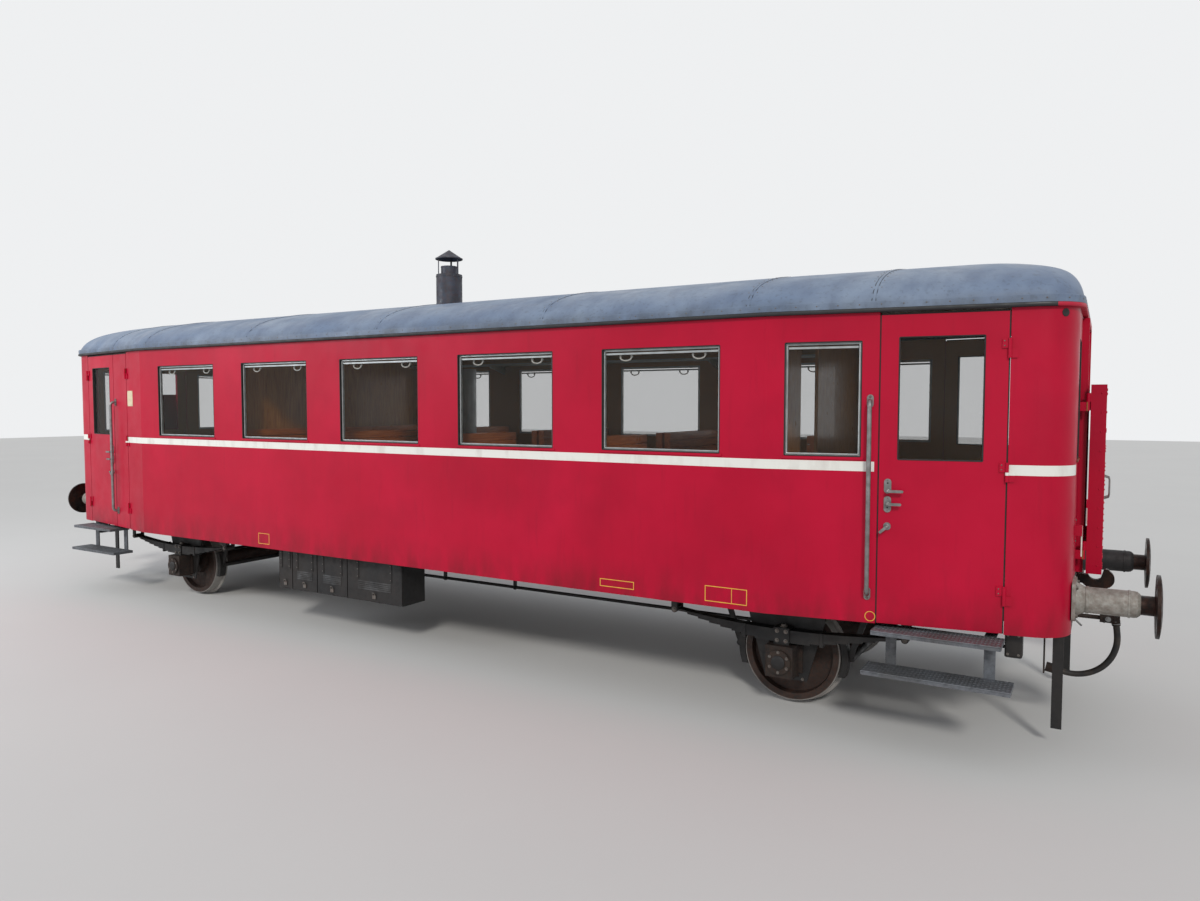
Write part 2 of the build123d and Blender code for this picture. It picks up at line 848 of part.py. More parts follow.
sole_mid_z = (sole_bottom_z + floor_under_z) / 2
sole_section = channel(
    Plane(origin=(-sole_end_x, -sole_web_y + sole_web, sole_mid_z), x_dir=(0, -1, 0), z_dir=(1, 0, 0)),
    sole_flange, sole_height, sole_web, sole_web,
)
with BuildPart() as sole_bars:
    extrude(sole_section, amount=2 * sole_end_x)
    mirror(about=Plane.XZ)
    with BuildSketch(Plane.XY.offset(sole_bottom_z)):
        add(inner_plan)
    extrude(amount=sole_height, mode=Mode.INTERSECT)
sole_bars.part.label = "sole_bars"
export_step(sole_bars.part, "parts/sole_bars.step")


def bearer(x, width):
    """Cross bearer between the sole bars, its web's back at x and its flanges reaching along +X."""
    section = channel(
        Plane(
            origin=(x, -sole_web_y + sole_web, floor_under_z - bearer_height / 2),
            x_dir=(1, 0, 0), z_dir=(0, 1, 0),
        ),
        width, bearer_height, bearer_web, bearer_web,
    )
    with BuildPart() as piece:
        extrude(section, amount=2 * (sole_web_y - sole_web))
    return piece.part


# The end bearer carries the headstock through four struts, two of them behind the buffers
end_channel = bearer(end_bearer_x, bearer_width)
with BuildPart() as end_bearer:
    add(end_channel)
    with BuildSketch(Plane.YZ.offset(end_bearer_x + bearer_web)):
        with Locations([(y, floor_under_z - bearer_height / 2) for y in strut_places]):
            Rectangle(bearer_width, bearer_height - 2 * bearer_web)
    extrude(amount=body_end_x - headstock_web - end_bearer_x - bearer_web)

inner_brake_bearer_x = 2 * axle_x - brake_bearer_x - bearer_width
bearer_places = (450.0, 1450.0, 2250.0, inner_brake_bearer_x, brake_bearer_x, 5000.0)
bearers = [image for x in bearer_places for image in both_ends(bearer(x, bearer_width))]
bearers += both_ends(end_bearer.part)
with BuildPart() as cross_bearers:
    add(bearers)
cross_bearers.part.label = "cross_bearers"
export_step(cross_bearers.part, "parts/cross_bearers.step")

headstock_section = channel(
    Plane(
        origin=(body_end_x, -headstock_half_width, (headstock_bottom_z + end_wall_bottom_z) / 2),
        x_dir=(-1, 0, 0), z_dir=(0, 1, 0),
    ),
    wall, end_wall_bottom_z - headstock_bottom_z, headstock_web, headstock_web,
)
with BuildPart() as headstocks:
    extrude(headstock_section, amount=2 * headstock_half_width)
    mirror(about=Plane.YZ)
headstocks.part.label = "headstocks"
export_step(headstocks.part, "parts/headstocks.step")

# Buffers: sleeves with a square flange on the headstock, plungers with round heads
buffer_plane = Plane(origin=(0, -buffer_spacing / 2, buffer_z), x_dir=(1, 0, 0), z_dir=(0, -1, 0))
buffer_axis = Axis((0, -buffer_spacing / 2, buffer_z), (1, 0, 0))
buffer_base_x = body_end_x + buffer_flange_depth

with BuildPart() as buffer_sleeve:
    with BuildSketch(Plane.YZ.offset(body_end_x)):
        with Locations((-buffer_spacing / 2, buffer_z)):
            RectangleRounded(buffer_flange_width, buffer_flange_height, 30)
    extrude(amount=buffer_flange_depth)
    with BuildSketch(buffer_plane):
        with BuildLine():
            Polyline(
                (buffer_sleeve_end_x, 0),
                (body_end_x, 0),
                (body_end_x, buffer_sleeve_radius + buffer_foot_flare),
                (buffer_base_x, buffer_sleeve_radius + buffer_foot_flare),
                (buffer_base_x + 2 * buffer_foot_flare, buffer_sleeve_radius),
                (buffer_sleeve_end_x - buffer_dome, buffer_sleeve_radius),
            )
            ThreePointArc(
                (buffer_sleeve_end_x - buffer_dome, buffer_sleeve_radius),
                (buffer_sleeve_end_x - buffer_dome / 3, buffer_sleeve_radius - buffer_dome / 4),
                (buffer_sleeve_end_x, buffer_plunger_radius + 2),
            )
            Line((buffer_sleeve_end_x, buffer_plunger_radius + 2), (buffer_sleeve_end_x, 0))
        make_face()
    revolve(axis=buffer_axis)
    with BuildSketch(Plane.YZ.offset(buffer_bore_x)):
        with Locations((-buffer_spacing / 2, buffer_z)):
            Circle(buffer_plunger_radius + buffer_play)
    extrude(amount=buffer_sleeve_end_x - buffer_bore_x, mode=Mode.SUBTRACT)

crown_width = buffer_head_radius - buffer_flat_radius
crown_radius = (crown_width**2 + buffer_crown**2) / (2 * buffer_crown)
with BuildPart() as buffer_head:
    with BuildSketch(buffer_plane):
        with BuildLine():
            Polyline(
                (buffer_face_x, 0),
                (buffer_bore_x, 0),
                (buffer_bore_x, buffer_plunger_radius),
                (buffer_face_x - 2 * buffer_plate, buffer_plunger_radius),
                (buffer_face_x - buffer_plate - buffer_crown, buffer_head_radius - buffer_plate),
                (buffer_face_x - buffer_plate - buffer_crown, buffer_head_radius),
                (buffer_face_x - buffer_crown, buffer_head_radius),
            )
            RadiusArc(
                (buffer_face_x - buffer_crown, buffer_head_radius),
                (buffer_face_x, buffer_flat_radius),
                crown_radius,
            )
            Line((buffer_face_x, buffer_flat_radius), (buffer_face_x, 0))
        make_face()
    revolve(axis=buffer_axis)

sleeves = four_ways(buffer_sleeve.part)
with BuildPart() as buffer_sleeves:
    add(sleeves)
buffer_sleeves.part.label = "buffer_sleeves"
export_step(buffer_sleeves.part, "parts/buffer_sleeves.step")

heads = four_ways(buffer_head.part)
with BuildPart() as buffer_heads:
    add(heads)
buffer_heads.part.label = "buffer_heads"
export_step(buffer_heads.part, "parts/buffer_heads.step")

# Draw hooks: a square shank through a guide plate, then a forged jaw open to the top
with BuildPart() as draw_hook:
    with BuildSketch(Plane.XZ.offset(-hook_thickness / 2)):
        with BuildLine():
            Line((body_end_x, hook_z + 32), (body_end_x + 74, hook_z + 30))
            ThreePointArc(
                (body_end_x + 74, hook_z + 30), (body_end_x + 112, hook_z - 4), (body_end_x + 156, hook_z + 8)
            )
            Line((body_end_x + 156, hook_z + 8), (body_end_x + 172, hook_z + 62))
            ThreePointArc(
                (body_end_x + 172, hook_z + 62),
                (body_end_x + 192, hook_z + 78),
                (body_end_x + 212, hook_z + 62),
            )
            ThreePointArc(
                (body_end_x + 212, hook_z + 62), (hook_reach_x, hook_z), (body_end_x + 196, hook_z - 62)
            )
            ThreePointArc(
                (body_end_x + 196, hook_z - 62),
                (body_end_x + 110, hook_z - 78),
                (body_end_x + 40, hook_z - 38),
            )
            Line((body_end_x + 40, hook_z - 38), (body_end_x, hook_z - 32))
            Line((body_end_x, hook_z - 32), (body_end_x, hook_z + 32))
        make_face()
    extrude(amount=hook_thickness)
    with BuildSketch(Plane.YZ.offset(body_end_x)):
        with Locations((0, hook_z)):
            RectangleRounded(hook_plate_width, hook_plate_height, 18)
    extrude(amount=hook_plate)

hooks = both_ends(draw_hook.part)
with BuildPart() as draw_hooks:
    add(hooks)
draw_hooks.part.label = "draw_hooks"
export_step(draw_hooks.part, "parts/draw_hooks.step")

# Wheelsets: two pressed-on wheels on one axle, the journals running in the axleboxes
wheel_plane = Plane(origin=(axle_x, 0, axle_z), x_dir=(0, 1, 0), z_dir=(1, 0, 0))
wheel_axis = Axis((axle_x, 0, axle_z), (0, 1, 0))
flange_radius = tread_radius + flange_depth
rim_inner_radius = tread_radius - rim_depth
wheel_face_y = wheel_back_y + tyre_width
flange_tip_y = wheel_back_y + flange_back
tread_start = flange_radius - flange_front

with BuildPart() as wheelset:
    with BuildSketch(wheel_plane):
        with BuildLine():
            Polyline(
                (wheel_back_y - hub_stand, 0),
                (wheel_back_y - hub_stand, hub_radius),
                (wheel_back_y + web_root, hub_radius + 10),
                (wheel_back_y + web_root - 8, rim_inner_radius - 8),
                (wheel_back_y, rim_inner_radius),
                (wheel_back_y, flange_radius - flange_back),
            )
            RadiusArc((wheel_back_y, flange_radius - flange_back), (flange_tip_y, flange_radius), flange_back)
            RadiusArc((flange_tip_y, flange_radius), (flange_tip_y + flange_front, tread_start), flange_front)
            Polyline(
                (flange_tip_y + flange_front, tread_start),
                (flange_tip_y + flange_front, tread_radius),
                (wheel_face_y, tread_radius - 3),
                (wheel_face_y, rim_inner_radius),
                (wheel_back_y + web_root + web_thick, rim_inner_radius - 8),
                (wheel_back_y + web_root + web_thick + 8, hub_radius + 10),
                (wheel_face_y + hub_stand, hub_radius),
                (wheel_face_y + hub_stand, 0),
                (wheel_back_y - hub_stand, 0),
            )
        make_face()
    revolve(axis=wheel_axis)
    mirror(about=Plane.XZ)
    with BuildSketch(Plane.XZ):
        with Locations((axle_x, axle_z)):
            Circle(axle_radius)
    extrude(amount=wheel_face_y, both=True)
    with BuildSketch(Plane.XZ):
        with Locations((axle_x, axle_z)):
            Circle(journal_radius)
    extrude(amount=journal_end_y, both=True)

for name, angle in (("right", 0), ("left", 180)):
    with BuildPart() as running:
        add(wheelset.part.rotate(Axis.Z, angle))
    running.part.label = f"wheelset_{name}"
    export_step(running.part, f"parts/wheelset_{name}.step")

# Axle guards: pierced plates on the backs of the sole bars, closed below the box by a stay
with BuildPart() as axle_guard:
    with BuildSketch(Plane.XZ.offset(guard_iron_y - guard_iron)):
        with BuildLine():
            Polyline(
                (axle_x - guard_top_half, floor_under_z - guard_iron),
                (axle_x + guard_top_half, floor_under_z - guard_iron),
                (axle_x + guard_top_half, sole_bottom_z),
                (axle_x + guard_foot_half, guard_foot_z),
                (axle_x - guard_foot_half, guard_foot_z),
                (axle_x - guard_top_half, sole_bottom_z),
                close=True,
            )
        make_face()
        with Locations((axle_x, (guard_slot_top_z + guard_foot_z + guard_stay) / 2)):
            Rectangle(
                2 * (box_half_length + box_play), guard_slot_top_z - guard_foot_z - guard_stay,
                mode=Mode.SUBTRACT,
            )
    extrude(amount=guard_iron)

guards = four_ways(axle_guard.part)
with BuildPart() as axle_guards:
    add(guards)
axle_guards.part.label = "axle_guards"
export_step(axle_guards.part, "parts/axle_guards.step")

# Axleboxes: cast boxes with lips on both sides of the axle guard and a round front cover
box_mid_y = (box_inner_y + box_outer_y) / 2
lip_places = (
    guard_iron_y + box_play + box_lip / 2,
    guard_iron_y - guard_iron - box_play - box_lip / 2,
)
with BuildPart() as axlebox:
    with BuildSketch(Plane.XY.offset(axle_z - box_half_height)):
        with Locations((axle_x, -box_mid_y)):
            Rectangle(2 * box_half_length, box_outer_y - box_inner_y)
    extrude(amount=2 * box_half_height)
    with BuildSketch(Plane.XY.offset(axle_z - box_half_height + box_lip)):
        with Locations([(axle_x, -y) for y in lip_places]):
            Rectangle(2 * (box_half_length + box_lip_reach), box_lip)
    extrude(amount=2 * (box_half_height - box_lip))
    with BuildSketch(Plane.XZ.offset(box_outer_y)):
        with Locations((axle_x, axle_z)):
            Circle(box_cover_radius)
    extrude(amount=box_cover)
    with BuildSketch(Plane.XZ.offset(box_inner_y)):
        with Locations((axle_x, axle_z)):
            Circle(journal_radius + journal_play)
    extrude(amount=journal_end_y - box_inner_y + journal_end_gap, mode=Mode.SUBTRACT)

boxes = four_ways(axlebox.part)
with BuildPart() as axleboxes:
    add(boxes)
axleboxes.part.label = "axleboxes"
export_step(axleboxes.part, "parts/axleboxes.step")

# Leaf springs: stepped leaves bent to one centre, a buckle on the axlebox, an eye at each end
spring_radius = (spring_half_length**2 + spring_rise**2) / (2 * spring_rise)
buckle_bottom_z = axle_z + box_half_height
leaf_top_z = buckle_bottom_z + spring_buckle_wall + leaf_count * leaf_thick
spring_centre_z = leaf_top_z + spring_radius


def leaf_height(reach, depth):
    """Height at a distance from mid-spring on the curve that lies depth below the top leaf's top."""
    return spring_centre_z - sqrt((spring_radius + depth) ** 2 - reach**2)


eye_z = leaf_height(spring_half_length, leaf_thick / 2)
with BuildPart() as leaf_spring:
    for k in range(leaf_count):
        reach = spring_half_length - k * (spring_half_length - 2 * buckle_half_length) / leaf_count
        top, under = k * leaf_thick, (k + 1) * leaf_thick
        with BuildSketch(Plane.XZ.offset(spring_y - leaf_width / 2)):
            with BuildLine():
                ThreePointArc(
                    (axle_x - reach, leaf_height(reach, top)),
                    (axle_x, leaf_height(0, top)),
                    (axle_x + reach, leaf_height(reach, top)),
                )
                Line((axle_x + reach, leaf_height(reach, top)), (axle_x + reach, leaf_height(reach, under)))
                ThreePointArc(
                    (axle_x + reach, leaf_height(reach, under)),
                    (axle_x, leaf_height(0, under)),
                    (axle_x - reach, leaf_height(reach, under)),
                )
                Line((axle_x - reach, leaf_height(reach, under)), (axle_x - reach, leaf_height(reach, top)))
            make_face()
        extrude(amount=leaf_width)
    with BuildSketch(Plane.XY.offset(buckle_bottom_z)):
        with Locations((axle_x, -spring_y)):
            Rectangle(2 * buckle_half_length, leaf_width + 2 * spring_buckle_side)
    extrude(amount=leaf_count * leaf_thick + 2 * spring_buckle_wall)
    for side in (-1, 1):
        with BuildSketch(Plane.XZ.offset(spring_y - leaf_width / 2)):
            with Locations((axle_x + side * (spring_half_length + eye_radius / 2), eye_z)):
                Circle(eye_radius)
        extrude(amount=leaf_width)
        with BuildSketch(Plane.XZ.offset(spring_y - leaf_width / 2)):
            with Locations((axle_x + side * (spring_half_length + eye_radius / 2), eye_z)):
                Circle(eye_pin_radius + pin_play)
        extrude(amount=leaf_width, mode=Mode.SUBTRACT)

# Spring hangers: a bracket under the sole bar, a link on each side of the spring and a pin
hanger_x = axle_x + spring_half_length + eye_radius / 2
with BuildPart() as spring_hanger:
    with BuildSketch(Plane.XZ.offset(spring_y - leaf_width / 2 - pin_play - link_thick)):
        with BuildLine():
            Line((hanger_x - eye_radius, eye_z), (hanger_x - eye_radius, sole_bottom_z))
            Line((hanger_x - eye_radius, sole_bottom_z), (hanger_x + eye_radius, sole_bottom_z))
            Line((hanger_x + eye_radius, sole_bottom_z), (hanger_x + eye_radius, eye_z))
            ThreePointArc(
                (hanger_x + eye_radius, eye_z), (hanger_x, eye_z - eye_radius), (hanger_x - eye_radius, eye_z)
            )
        make_face()
    extrude(amount=leaf_width + 2 * (pin_play + link_thick))
    with BuildSketch(Plane.XZ.offset(spring_y - leaf_width / 2 - pin_play)):
        with Locations((hanger_x - hanger_slot / 2, (eye_z + sole_bottom_z) / 2 - hanger_block)):
            Rectangle(4 * hanger_slot, sole_bottom_z - eye_z + 2 * eye_radius)
    extrude(amount=leaf_width + 2 * pin_play, mode=Mode.SUBTRACT)
    with BuildSketch(Plane.XZ.offset(spring_y - leaf_width / 2 - pin_play - link_thick)):
        with Locations((hanger_x, eye_z)):
            Circle(eye_pin_radius)
    extrude(amount=leaf_width + 2 * (pin_play + link_thick))

hanger_pair = [spring_hanger.part, mirror(spring_hanger.part, about=Plane.YZ.offset(axle_x))]
springs = four_ways(leaf_spring.part)
hangers = [image for piece in hanger_pair for image in four_ways(piece)]
with BuildPart() as leaf_springs:
    add(springs)
leaf_springs.part.label = "leaf_springs"
export_step(leaf_springs.part, "parts/leaf_springs.step")

with BuildPart() as spring_hangers:
    add(hangers)
spring_hangers.part.label = "spring_hangers"
export_step(spring_hangers.part, "parts/spring_hangers.step")

# Rail guards: flat bars from the headstocks down over the rails
with BuildPart() as rail_guard:
    with BuildSketch(Plane.XY.offset(rail_guard_bottom_z)):
        with Locations((rail_guard_x, -rail_guard_y)):
            Rectangle(rail_guard_width, rail_guard_thick)
    extrude(amount=floor_under_z - bearer_height - rail_guard_bottom_z)

irons = four_ways(rail_guard.part)
with BuildPart() as rail_guards:
    add(irons)
rail_guards.part.label = "rail_guards"
export_step(rail_guards.part, "parts/rail_guards.step")

# Entry steps: an upper and a lower tread at each side door, their backs on two straps that
# drop from the sole bar
step_mid_x = (door_inner_x + door_outer_x) / 2
step_back_y = step_front_y - step_depth
sole_outer_y = sole_web_y - sole_web + sole_flange
with BuildPart() as entry_step:
    for tread_z, length in ((upper_step_z, upper_step_length), (lower_step_z, lower_step_length)):
        with BuildSketch(Plane.XY.offset(tread_z - step_frame)):
            with Locations((step_mid_x, -(step_front_y + step_back_y) / 2)):
                Rectangle(length, step_depth)
        extrude(amount=step_frame)
    for side in (-1, 1):
        strap_x = step_mid_x + side * (upper_step_length / 2 - step_strap_inset)
        with BuildSketch(Plane.YZ.offset(strap_x - step_strap / 2)):
            with BuildLine():
                Polyline(
                    (-step_back_y, lower_step_z - step_frame),
                    (-step_back_y, upper_step_z),
                    (-sole_outer_y, upper_step_z),
                    (-sole_outer_y, sole_bottom_z),
                    (-sole_outer_y + step_hanger, sole_bottom_z),
                    (-sole_outer_y + step_hanger, upper_step_z - step_hanger),
                    (-step_back_y + step_hanger, upper_step_z - step_hanger),
                    (-step_back_y + step_hanger, lower_step_z - step_frame),
                    close=True,
                )
            make_face()
        extrude(amount=step_strap)

steps = four_ways(entry_step.part)
with BuildPart() as entry_steps:
    add(steps)
entry_steps.part.label = "entry_steps"
export_step(entry_steps.part, "parts/entry_steps.step")

# Grab rails beside the single doors
rails = both_sides(grab_rail(along(grab_x)))
with BuildPart() as grab_rails:
    add(rails)
grab_rails.part.label = "grab_rails"
export_step(grab_rails.part, "parts/grab_rails.step")

# Chimney on the flat crown of the roof: jacket, inner flue and a conical cap on struts
chimney_plane = Plane(origin=(stove_x, 0, 0), x_dir=(1, 0, 0), z_dir=(0, -1, 0))
chimney_axis = Axis((stove_x, 0, 0), (0, 0, 1))
with BuildPart() as chimney:
    with BuildSketch(chimney_plane):
        with BuildLine():
            Polyline(
                (flue_radius - chimney_wall, roof_top_z),
                (chimney_radius + flashing, roof_top_z),
                (chimney_radius + flashing, roof_top_z + chimney_wall),
                (chimney_radius, roof_top_z + flashing),
                (chimney_radius, chimney_top_z),
                (flue_radius, chimney_top_z),
                (flue_radius, flue_top_z),
                (flue_radius - chimney_wall, flue_top_z),
                close=True,
            )
        make_face()
    revolve(axis=chimney_axis)
    with BuildSketch(chimney_plane):
        with BuildLine():
            Polyline(
                (0, cap_top_z),
                (cap_radius, cap_rim_z),
                (cap_radius, cap_rim_z - chimney_wall),
                (0, cap_top_z - 2 * chimney_wall),
                close=True,
            )
        make_face()
    revolve(axis=chimney_axis)
    with BuildSketch(Plane.XY.offset(chimney_top_z)):
        with Locations((stove_x, 0)):
            with PolarLocations(strut_circle, strut_count):
                Rectangle(chimney_wall, strut_width)
    cap_slope = (cap_top_z - cap_rim_z) / cap_radius
    extrude(amount=cap_rim_z + (cap_radius - strut_circle) * cap_slope - chimney_wall / 2 - chimney_top_z)
chimney.part.label = "chimney"
export_step(chimney.part, "parts/chimney.step")

with BuildPart() as stove:
    with BuildSketch(Plane.XY.offset(floor_z)):
        with Locations((stove_x, stove_y)):
            Circle(stove_radius)
    extrude(amount=stove_top_z - floor_z)
    with BuildSketch(Plane.XY.offset(stove_top_z)):
        with Locations((stove_x, 0)):
            Circle(flue_radius)
    extrude(amount=ceiling_z - stove_top_z)
stove.part.label = "stove"
export_step(stove.part, "parts/stove.step")

# Partitions, cut to the room's outline and vault, each with a doorway onto the aisle
with BuildPart() as room:
    with BuildSketch(Plane.XY.offset(floor_z)):
        add(inner_plan)
    extrude(amount=roof_base_z - floor_z)
    add(roof_space.part)

aisle_mid_y = (aisle_near_y + aisle_far_y) / 2
with BuildPart() as partitions:
    for x in (luggage_partition_x, vestibule_partition_x):
        with BuildSketch(Plane.YZ.offset(x - partition_thickness / 2)):
            with Locations((0, (floor_z + roof_top_z) / 2)):
                Rectangle(2 * half_width, roof_top_z - floor_z)
            with Locations((aisle_mid_y, floor_z + doorway_height / 2)):
                Rectangle(doorway_width, doorway_height, mode=Mode.SUBTRACT)
        extrude(amount=partition_thickness)
    add(room.part, mode=Mode.INTERSECT)
partitions.part.label = "partitions"
export_step(partitions.part, "parts/partitions.step")


def bench(length):
    """Slatted bench whose back plane stands at x = 0, facing +X, from y = 0 to its length."""
    with BuildPart() as seat:
        for y in (0, length - bench_side):
            with BuildSketch(Plane.XZ.offset(-y - bench_side)):
                with BuildLine():
                    Polyline(
                        (0, floor_z),
                        (seat_depth - bench_foot_set, floor_z),
                        (seat_depth, floor_z + seat_height - slat_thick),
                        (bench_side, floor_z + seat_height - slat_thick),
                        (bench_side, bench_back_top_z),
                        (0, bench_back_top_z),
                        close=True,
                    )
                make_face()
            extrude(amount=bench_side)
        for k in range(seat_slats):
            with BuildSketch(Plane.XY.offset(floor_z + seat_height - slat_thick)):
                with Locations((bench_side + slat_thick + (k + 0.5) * seat_slat_pitch, length / 2)):
                    Rectangle(seat_slat_pitch - slat_gap, length)
            extrude(amount=slat_thick)
        for k in range(back_slats):
            with BuildSketch(Plane.XY.offset(bench_back_top_z - (k + 1) * back_slat_pitch + slat_gap)):
                with Locations((bench_side + slat_thick / 2, length / 2)):
                    Rectangle(slat_thick, length)
            extrude(amount=back_slat_pitch - slat_gap)
    return seat.part


# Each entry: cross plane that the bench stands against, direction it faces, where its far row starts
bench_table = (
    (luggage_partition_x, 1, aisle_far_y),
    (-0.5 * window_pitch, -1, aisle_far_y),
    (-0.5 * window_pitch, 1, stove_y + stove_radius + stove_clear),
    (0.5 * window_pitch, -1, aisle_far_y),
    (0.5 * window_pitch, 1, aisle_far_y),
    (1.5 * window_pitch, -1, aisle_far_y),
    (1.5 * window_pitch, 1, aisle_far_y),
    (vestibule_partition_x, -1, aisle_far_y),
)


def seated(x, facing, y_low, y_high):
    """A bench standing against a cross plane, facing along the coach, between two distances across."""
    piece = bench(y_high - y_low)
    turned = piece if facing > 0 else endwise(piece)
    return turned.moved(Location((x + facing * partition_thickness / 2, y_low, 0)))


near_benches = [seated(x, facing, -bench_wall_y, aisle_near_y) for x, facing, far_start in bench_table]
far_benches = [seated(x, facing, far_start, bench_wall_y) for x, facing, far_start in bench_table]
with BuildPart() as benches_near:
    add(near_benches)
benches_near.part.label = "benches_near"
export_step(benches_near.part, "parts/benches_near.step")

with BuildPart() as benches_far:
    add(far_benches)
benches_far.part.label = "benches_far"
export_step(benches_far.part, "parts/benches_far.step")

# Luggage racks over the windows: rods on brackets at the pillars
rack_length = vestibule_partition_x - luggage_partition_x - partition_thickness
rack_mid_x = (vestibule_partition_x + luggage_partition_x) / 2
bracket_places = [window_pitch * (k + 0.5) for k in range(-1, 2)]
with BuildPart() as luggage_rack:
    with BuildSketch(Plane.YZ.offset(rack_mid_x - rack_length / 2)):
        with Locations([(-half_width + wall + rack_rod + k * rack_pitch, rack_z) for k in range(rack_rods)]):
            Rectangle(rack_rod, rack_rod)
    extrude(amount=rack_length)
    for x in bracket_places:
        with BuildSketch(Plane.YZ.offset(x - rack_bracket / 2)):
            with BuildLine():
                Polyline(
                    (-half_width + wall, rack_z - rack_rod / 2),
                    (-half_width + wall + rack_reach, rack_z - rack_rod / 2),
                    (-half_width + wall + rack_reach, rack_z - 1.5 * rack_rod),
                    (-half_width + wall, rack_z - rack_drop),
                    close=True,
                )
            make_face()
        extrude(amount=rack_bracket)

racks = both_sides(luggage_rack.part)
with BuildPart() as luggage_racks:
    add(racks)
luggage_racks.part.label = "luggage_racks"
export_step(luggage_racks.part, "parts/luggage_racks.step")

# Battery boxes on the near sole bar: one carcass with a door to each bay
battery_height = floor_under_z - battery_bottom_z
battery_depth = half_width - battery_set_back - sole_outer_y
with BuildPart() as battery_boxes:
    with BuildSketch(Plane.XY.offset(battery_bottom_z)):
        with Locations(((battery_bays[0] + battery_bays[-1]) / 2, -(sole_outer_y + battery_depth / 2))):
            Rectangle(battery_bays[-1] - battery_bays[0], battery_depth)
    extrude(amount=battery_height)
    for start, end in zip(battery_bays, battery_bays[1:]):
        with BuildSketch(Plane.XZ.offset(sole_outer_y + battery_depth)):
            with Locations(((start + end) / 2, battery_bottom_z + battery_height / 2)):
                RectangleRounded(end - start - battery_seam, battery_height - battery_seam, battery_seam)
        extrude(amount=battery_door)
battery_boxes.part.label = "battery_boxes"
export_step(battery_boxes.part, "parts/battery_boxes.step")

# Brake rigging: at each side of each wheelset a beam with two shoes, hung from the cross bearers
shoe_inner = tread_radius + shoe_clear
shoe_outer = shoe_inner + shoe_thick
bearer_bottom_z = floor_under_z - bearer_height
with BuildPart() as brake_beam:
    for side in (-1, 1):
        with BuildSketch(Plane.XZ.offset(-side * shoe_y - shoe_width / 2)):
            with Locations((axle_x, axle_z)):
                Circle(shoe_outer)
                Circle(shoe_inner, mode=Mode.SUBTRACT)
            with Locations((axle_x + shoe_outer, axle_z)):
                Rectangle(shoe_outer, shoe_height, mode=Mode.INTERSECT)
        extrude(amount=shoe_width)
        with BuildSketch(Plane.XZ.offset(-side * shoe_y - brake_hanger / 2)):
            with BuildLine():
                Polyline(
                    (axle_x + shoe_outer - brake_hanger, axle_z),
                    (axle_x + shoe_outer + brake_hanger, axle_z),
                    (brake_bearer_x + bearer_width, bearer_bottom_z),
                    (brake_bearer_x + bearer_width - 2 * brake_hanger, bearer_bottom_z),
                    close=True,
                )
            make_face()
        extrude(amount=brake_hanger)
    with BuildSketch(Plane.XZ.offset(-shoe_y)):
        with Locations((axle_x + shoe_outer + brake_beam_radius / 2, axle_z)):
            Circle(brake_beam_radius)
    extrude(amount=2 * shoe_y)

# The beam on the inner side of the wheelset hangs from the bearer as far inboard
inner_beam = mirror(brake_beam.part, about=Plane.YZ.offset(axle_x))
beams = both_ends(brake_beam.part) + both_ends(inner_beam)

# Pull rod between the inner beams, held up by straps from the two middle bearers
with BuildPart() as pull_rod:
    with BuildSketch(Plane.YZ):
        with Locations((0, axle_z)):
            Circle(pull_rod_radius)
    extrude(amount=axle_x - shoe_outer - brake_beam_radius / 2, both=True)
    for side in (-1, 1):
        with BuildSketch(Plane.YZ.offset(side * (bearer_places[0] + bearer_width / 2) - pull_strap / 2)):
            with Locations((0, (bearer_bottom_z + axle_z) / 2)):
                Rectangle(2 * pull_strap, bearer_bottom_z - axle_z)
            with Locations((0, axle_z)):
                Circle(pull_rod_radius + pull_strap / 2)
        extrude(amount=pull_strap)

with BuildPart() as brake_rigging:
    add(beams)
    add(pull_rod.part)
brake_rigging.part.label = "brake_rigging"
export_step(brake_rigging.part, "parts/brake_rigging.step")

# Air reservoirs, each strapped up under two neighbouring cross bearers.
# Each entry: first bearer, second bearer, middle across the coach, radius
vessel_table = (
    (bearer_places[0], bearer_places[1], 450.0, 170.0),
    (-bearer_places[1] - bearer_width, -bearer_places[0] - bearer_width, -350.0, 140.0),
)
with BuildPart() as air_vessels:
    for first_x, second_x, y, radius in vessel_table:
        vessel_z = bearer_bottom_z - vessel_saddle - radius
        with BuildSketch(Plane(origin=(first_x - vessel_end, y, vessel_z), z_dir=(1, 0, 0))):
            Circle(radius)
        extrude(amount=second_x - first_x + bearer_width + 2 * vessel_end)
        for x in (first_x, second_x):
            with BuildSketch(Plane.XY.offset(vessel_z)):
                with Locations((x + bearer_width / 2, y)):
                    Rectangle(bearer_width, radius)
            extrude(amount=radius + vessel_saddle)
air_vessels.part.label = "air_vessels"
export_step(air_vessels.part, "parts/air_vessels.step")

# Brake pipe at each end: pipe under the headstock, cock, nipple, hose and its coupling head.
# The hose route lies in the plane y = -hose_y: distance from the middle, height above the rail.
hose_route = (
    (5915.0, 775.0),
    (5926.0, 696.0),
    (5919.0, 616.0),
    (5890.0, 536.0),
    (5839.0, 468.0),
    (5774.0, 421.0),
    (5698.0, 395.0),
    (5623.0, 393.0),
    (5555.0, 407.0),
)
hose_points = [Vector(x, -hose_y, rail_z + height) for x, height in hose_route]
hose_runs = [b - a for a, b in zip(hose_points, hose_points[1:])]
hose_radii = [
    hose_share * min(a.length, b.length) / tan(radians(a.get_angle(b)) / 2)
    for a, b in zip(hose_runs, hose_runs[1:])
]
hose_start, hose_end = hose_points[0], hose_points[-1]
exit_direction = hose_runs[0].normalized()
head_direction = hose_runs[-1].normalized()

with BuildPart() as brake_hose:
    with BuildLine() as hose_path:
        FilletPolyline(*hose_points, radius=hose_radii)
    with BuildSketch(Plane(origin=hose_start, z_dir=exit_direction)):
        Circle(hose_radius)
    sweep()

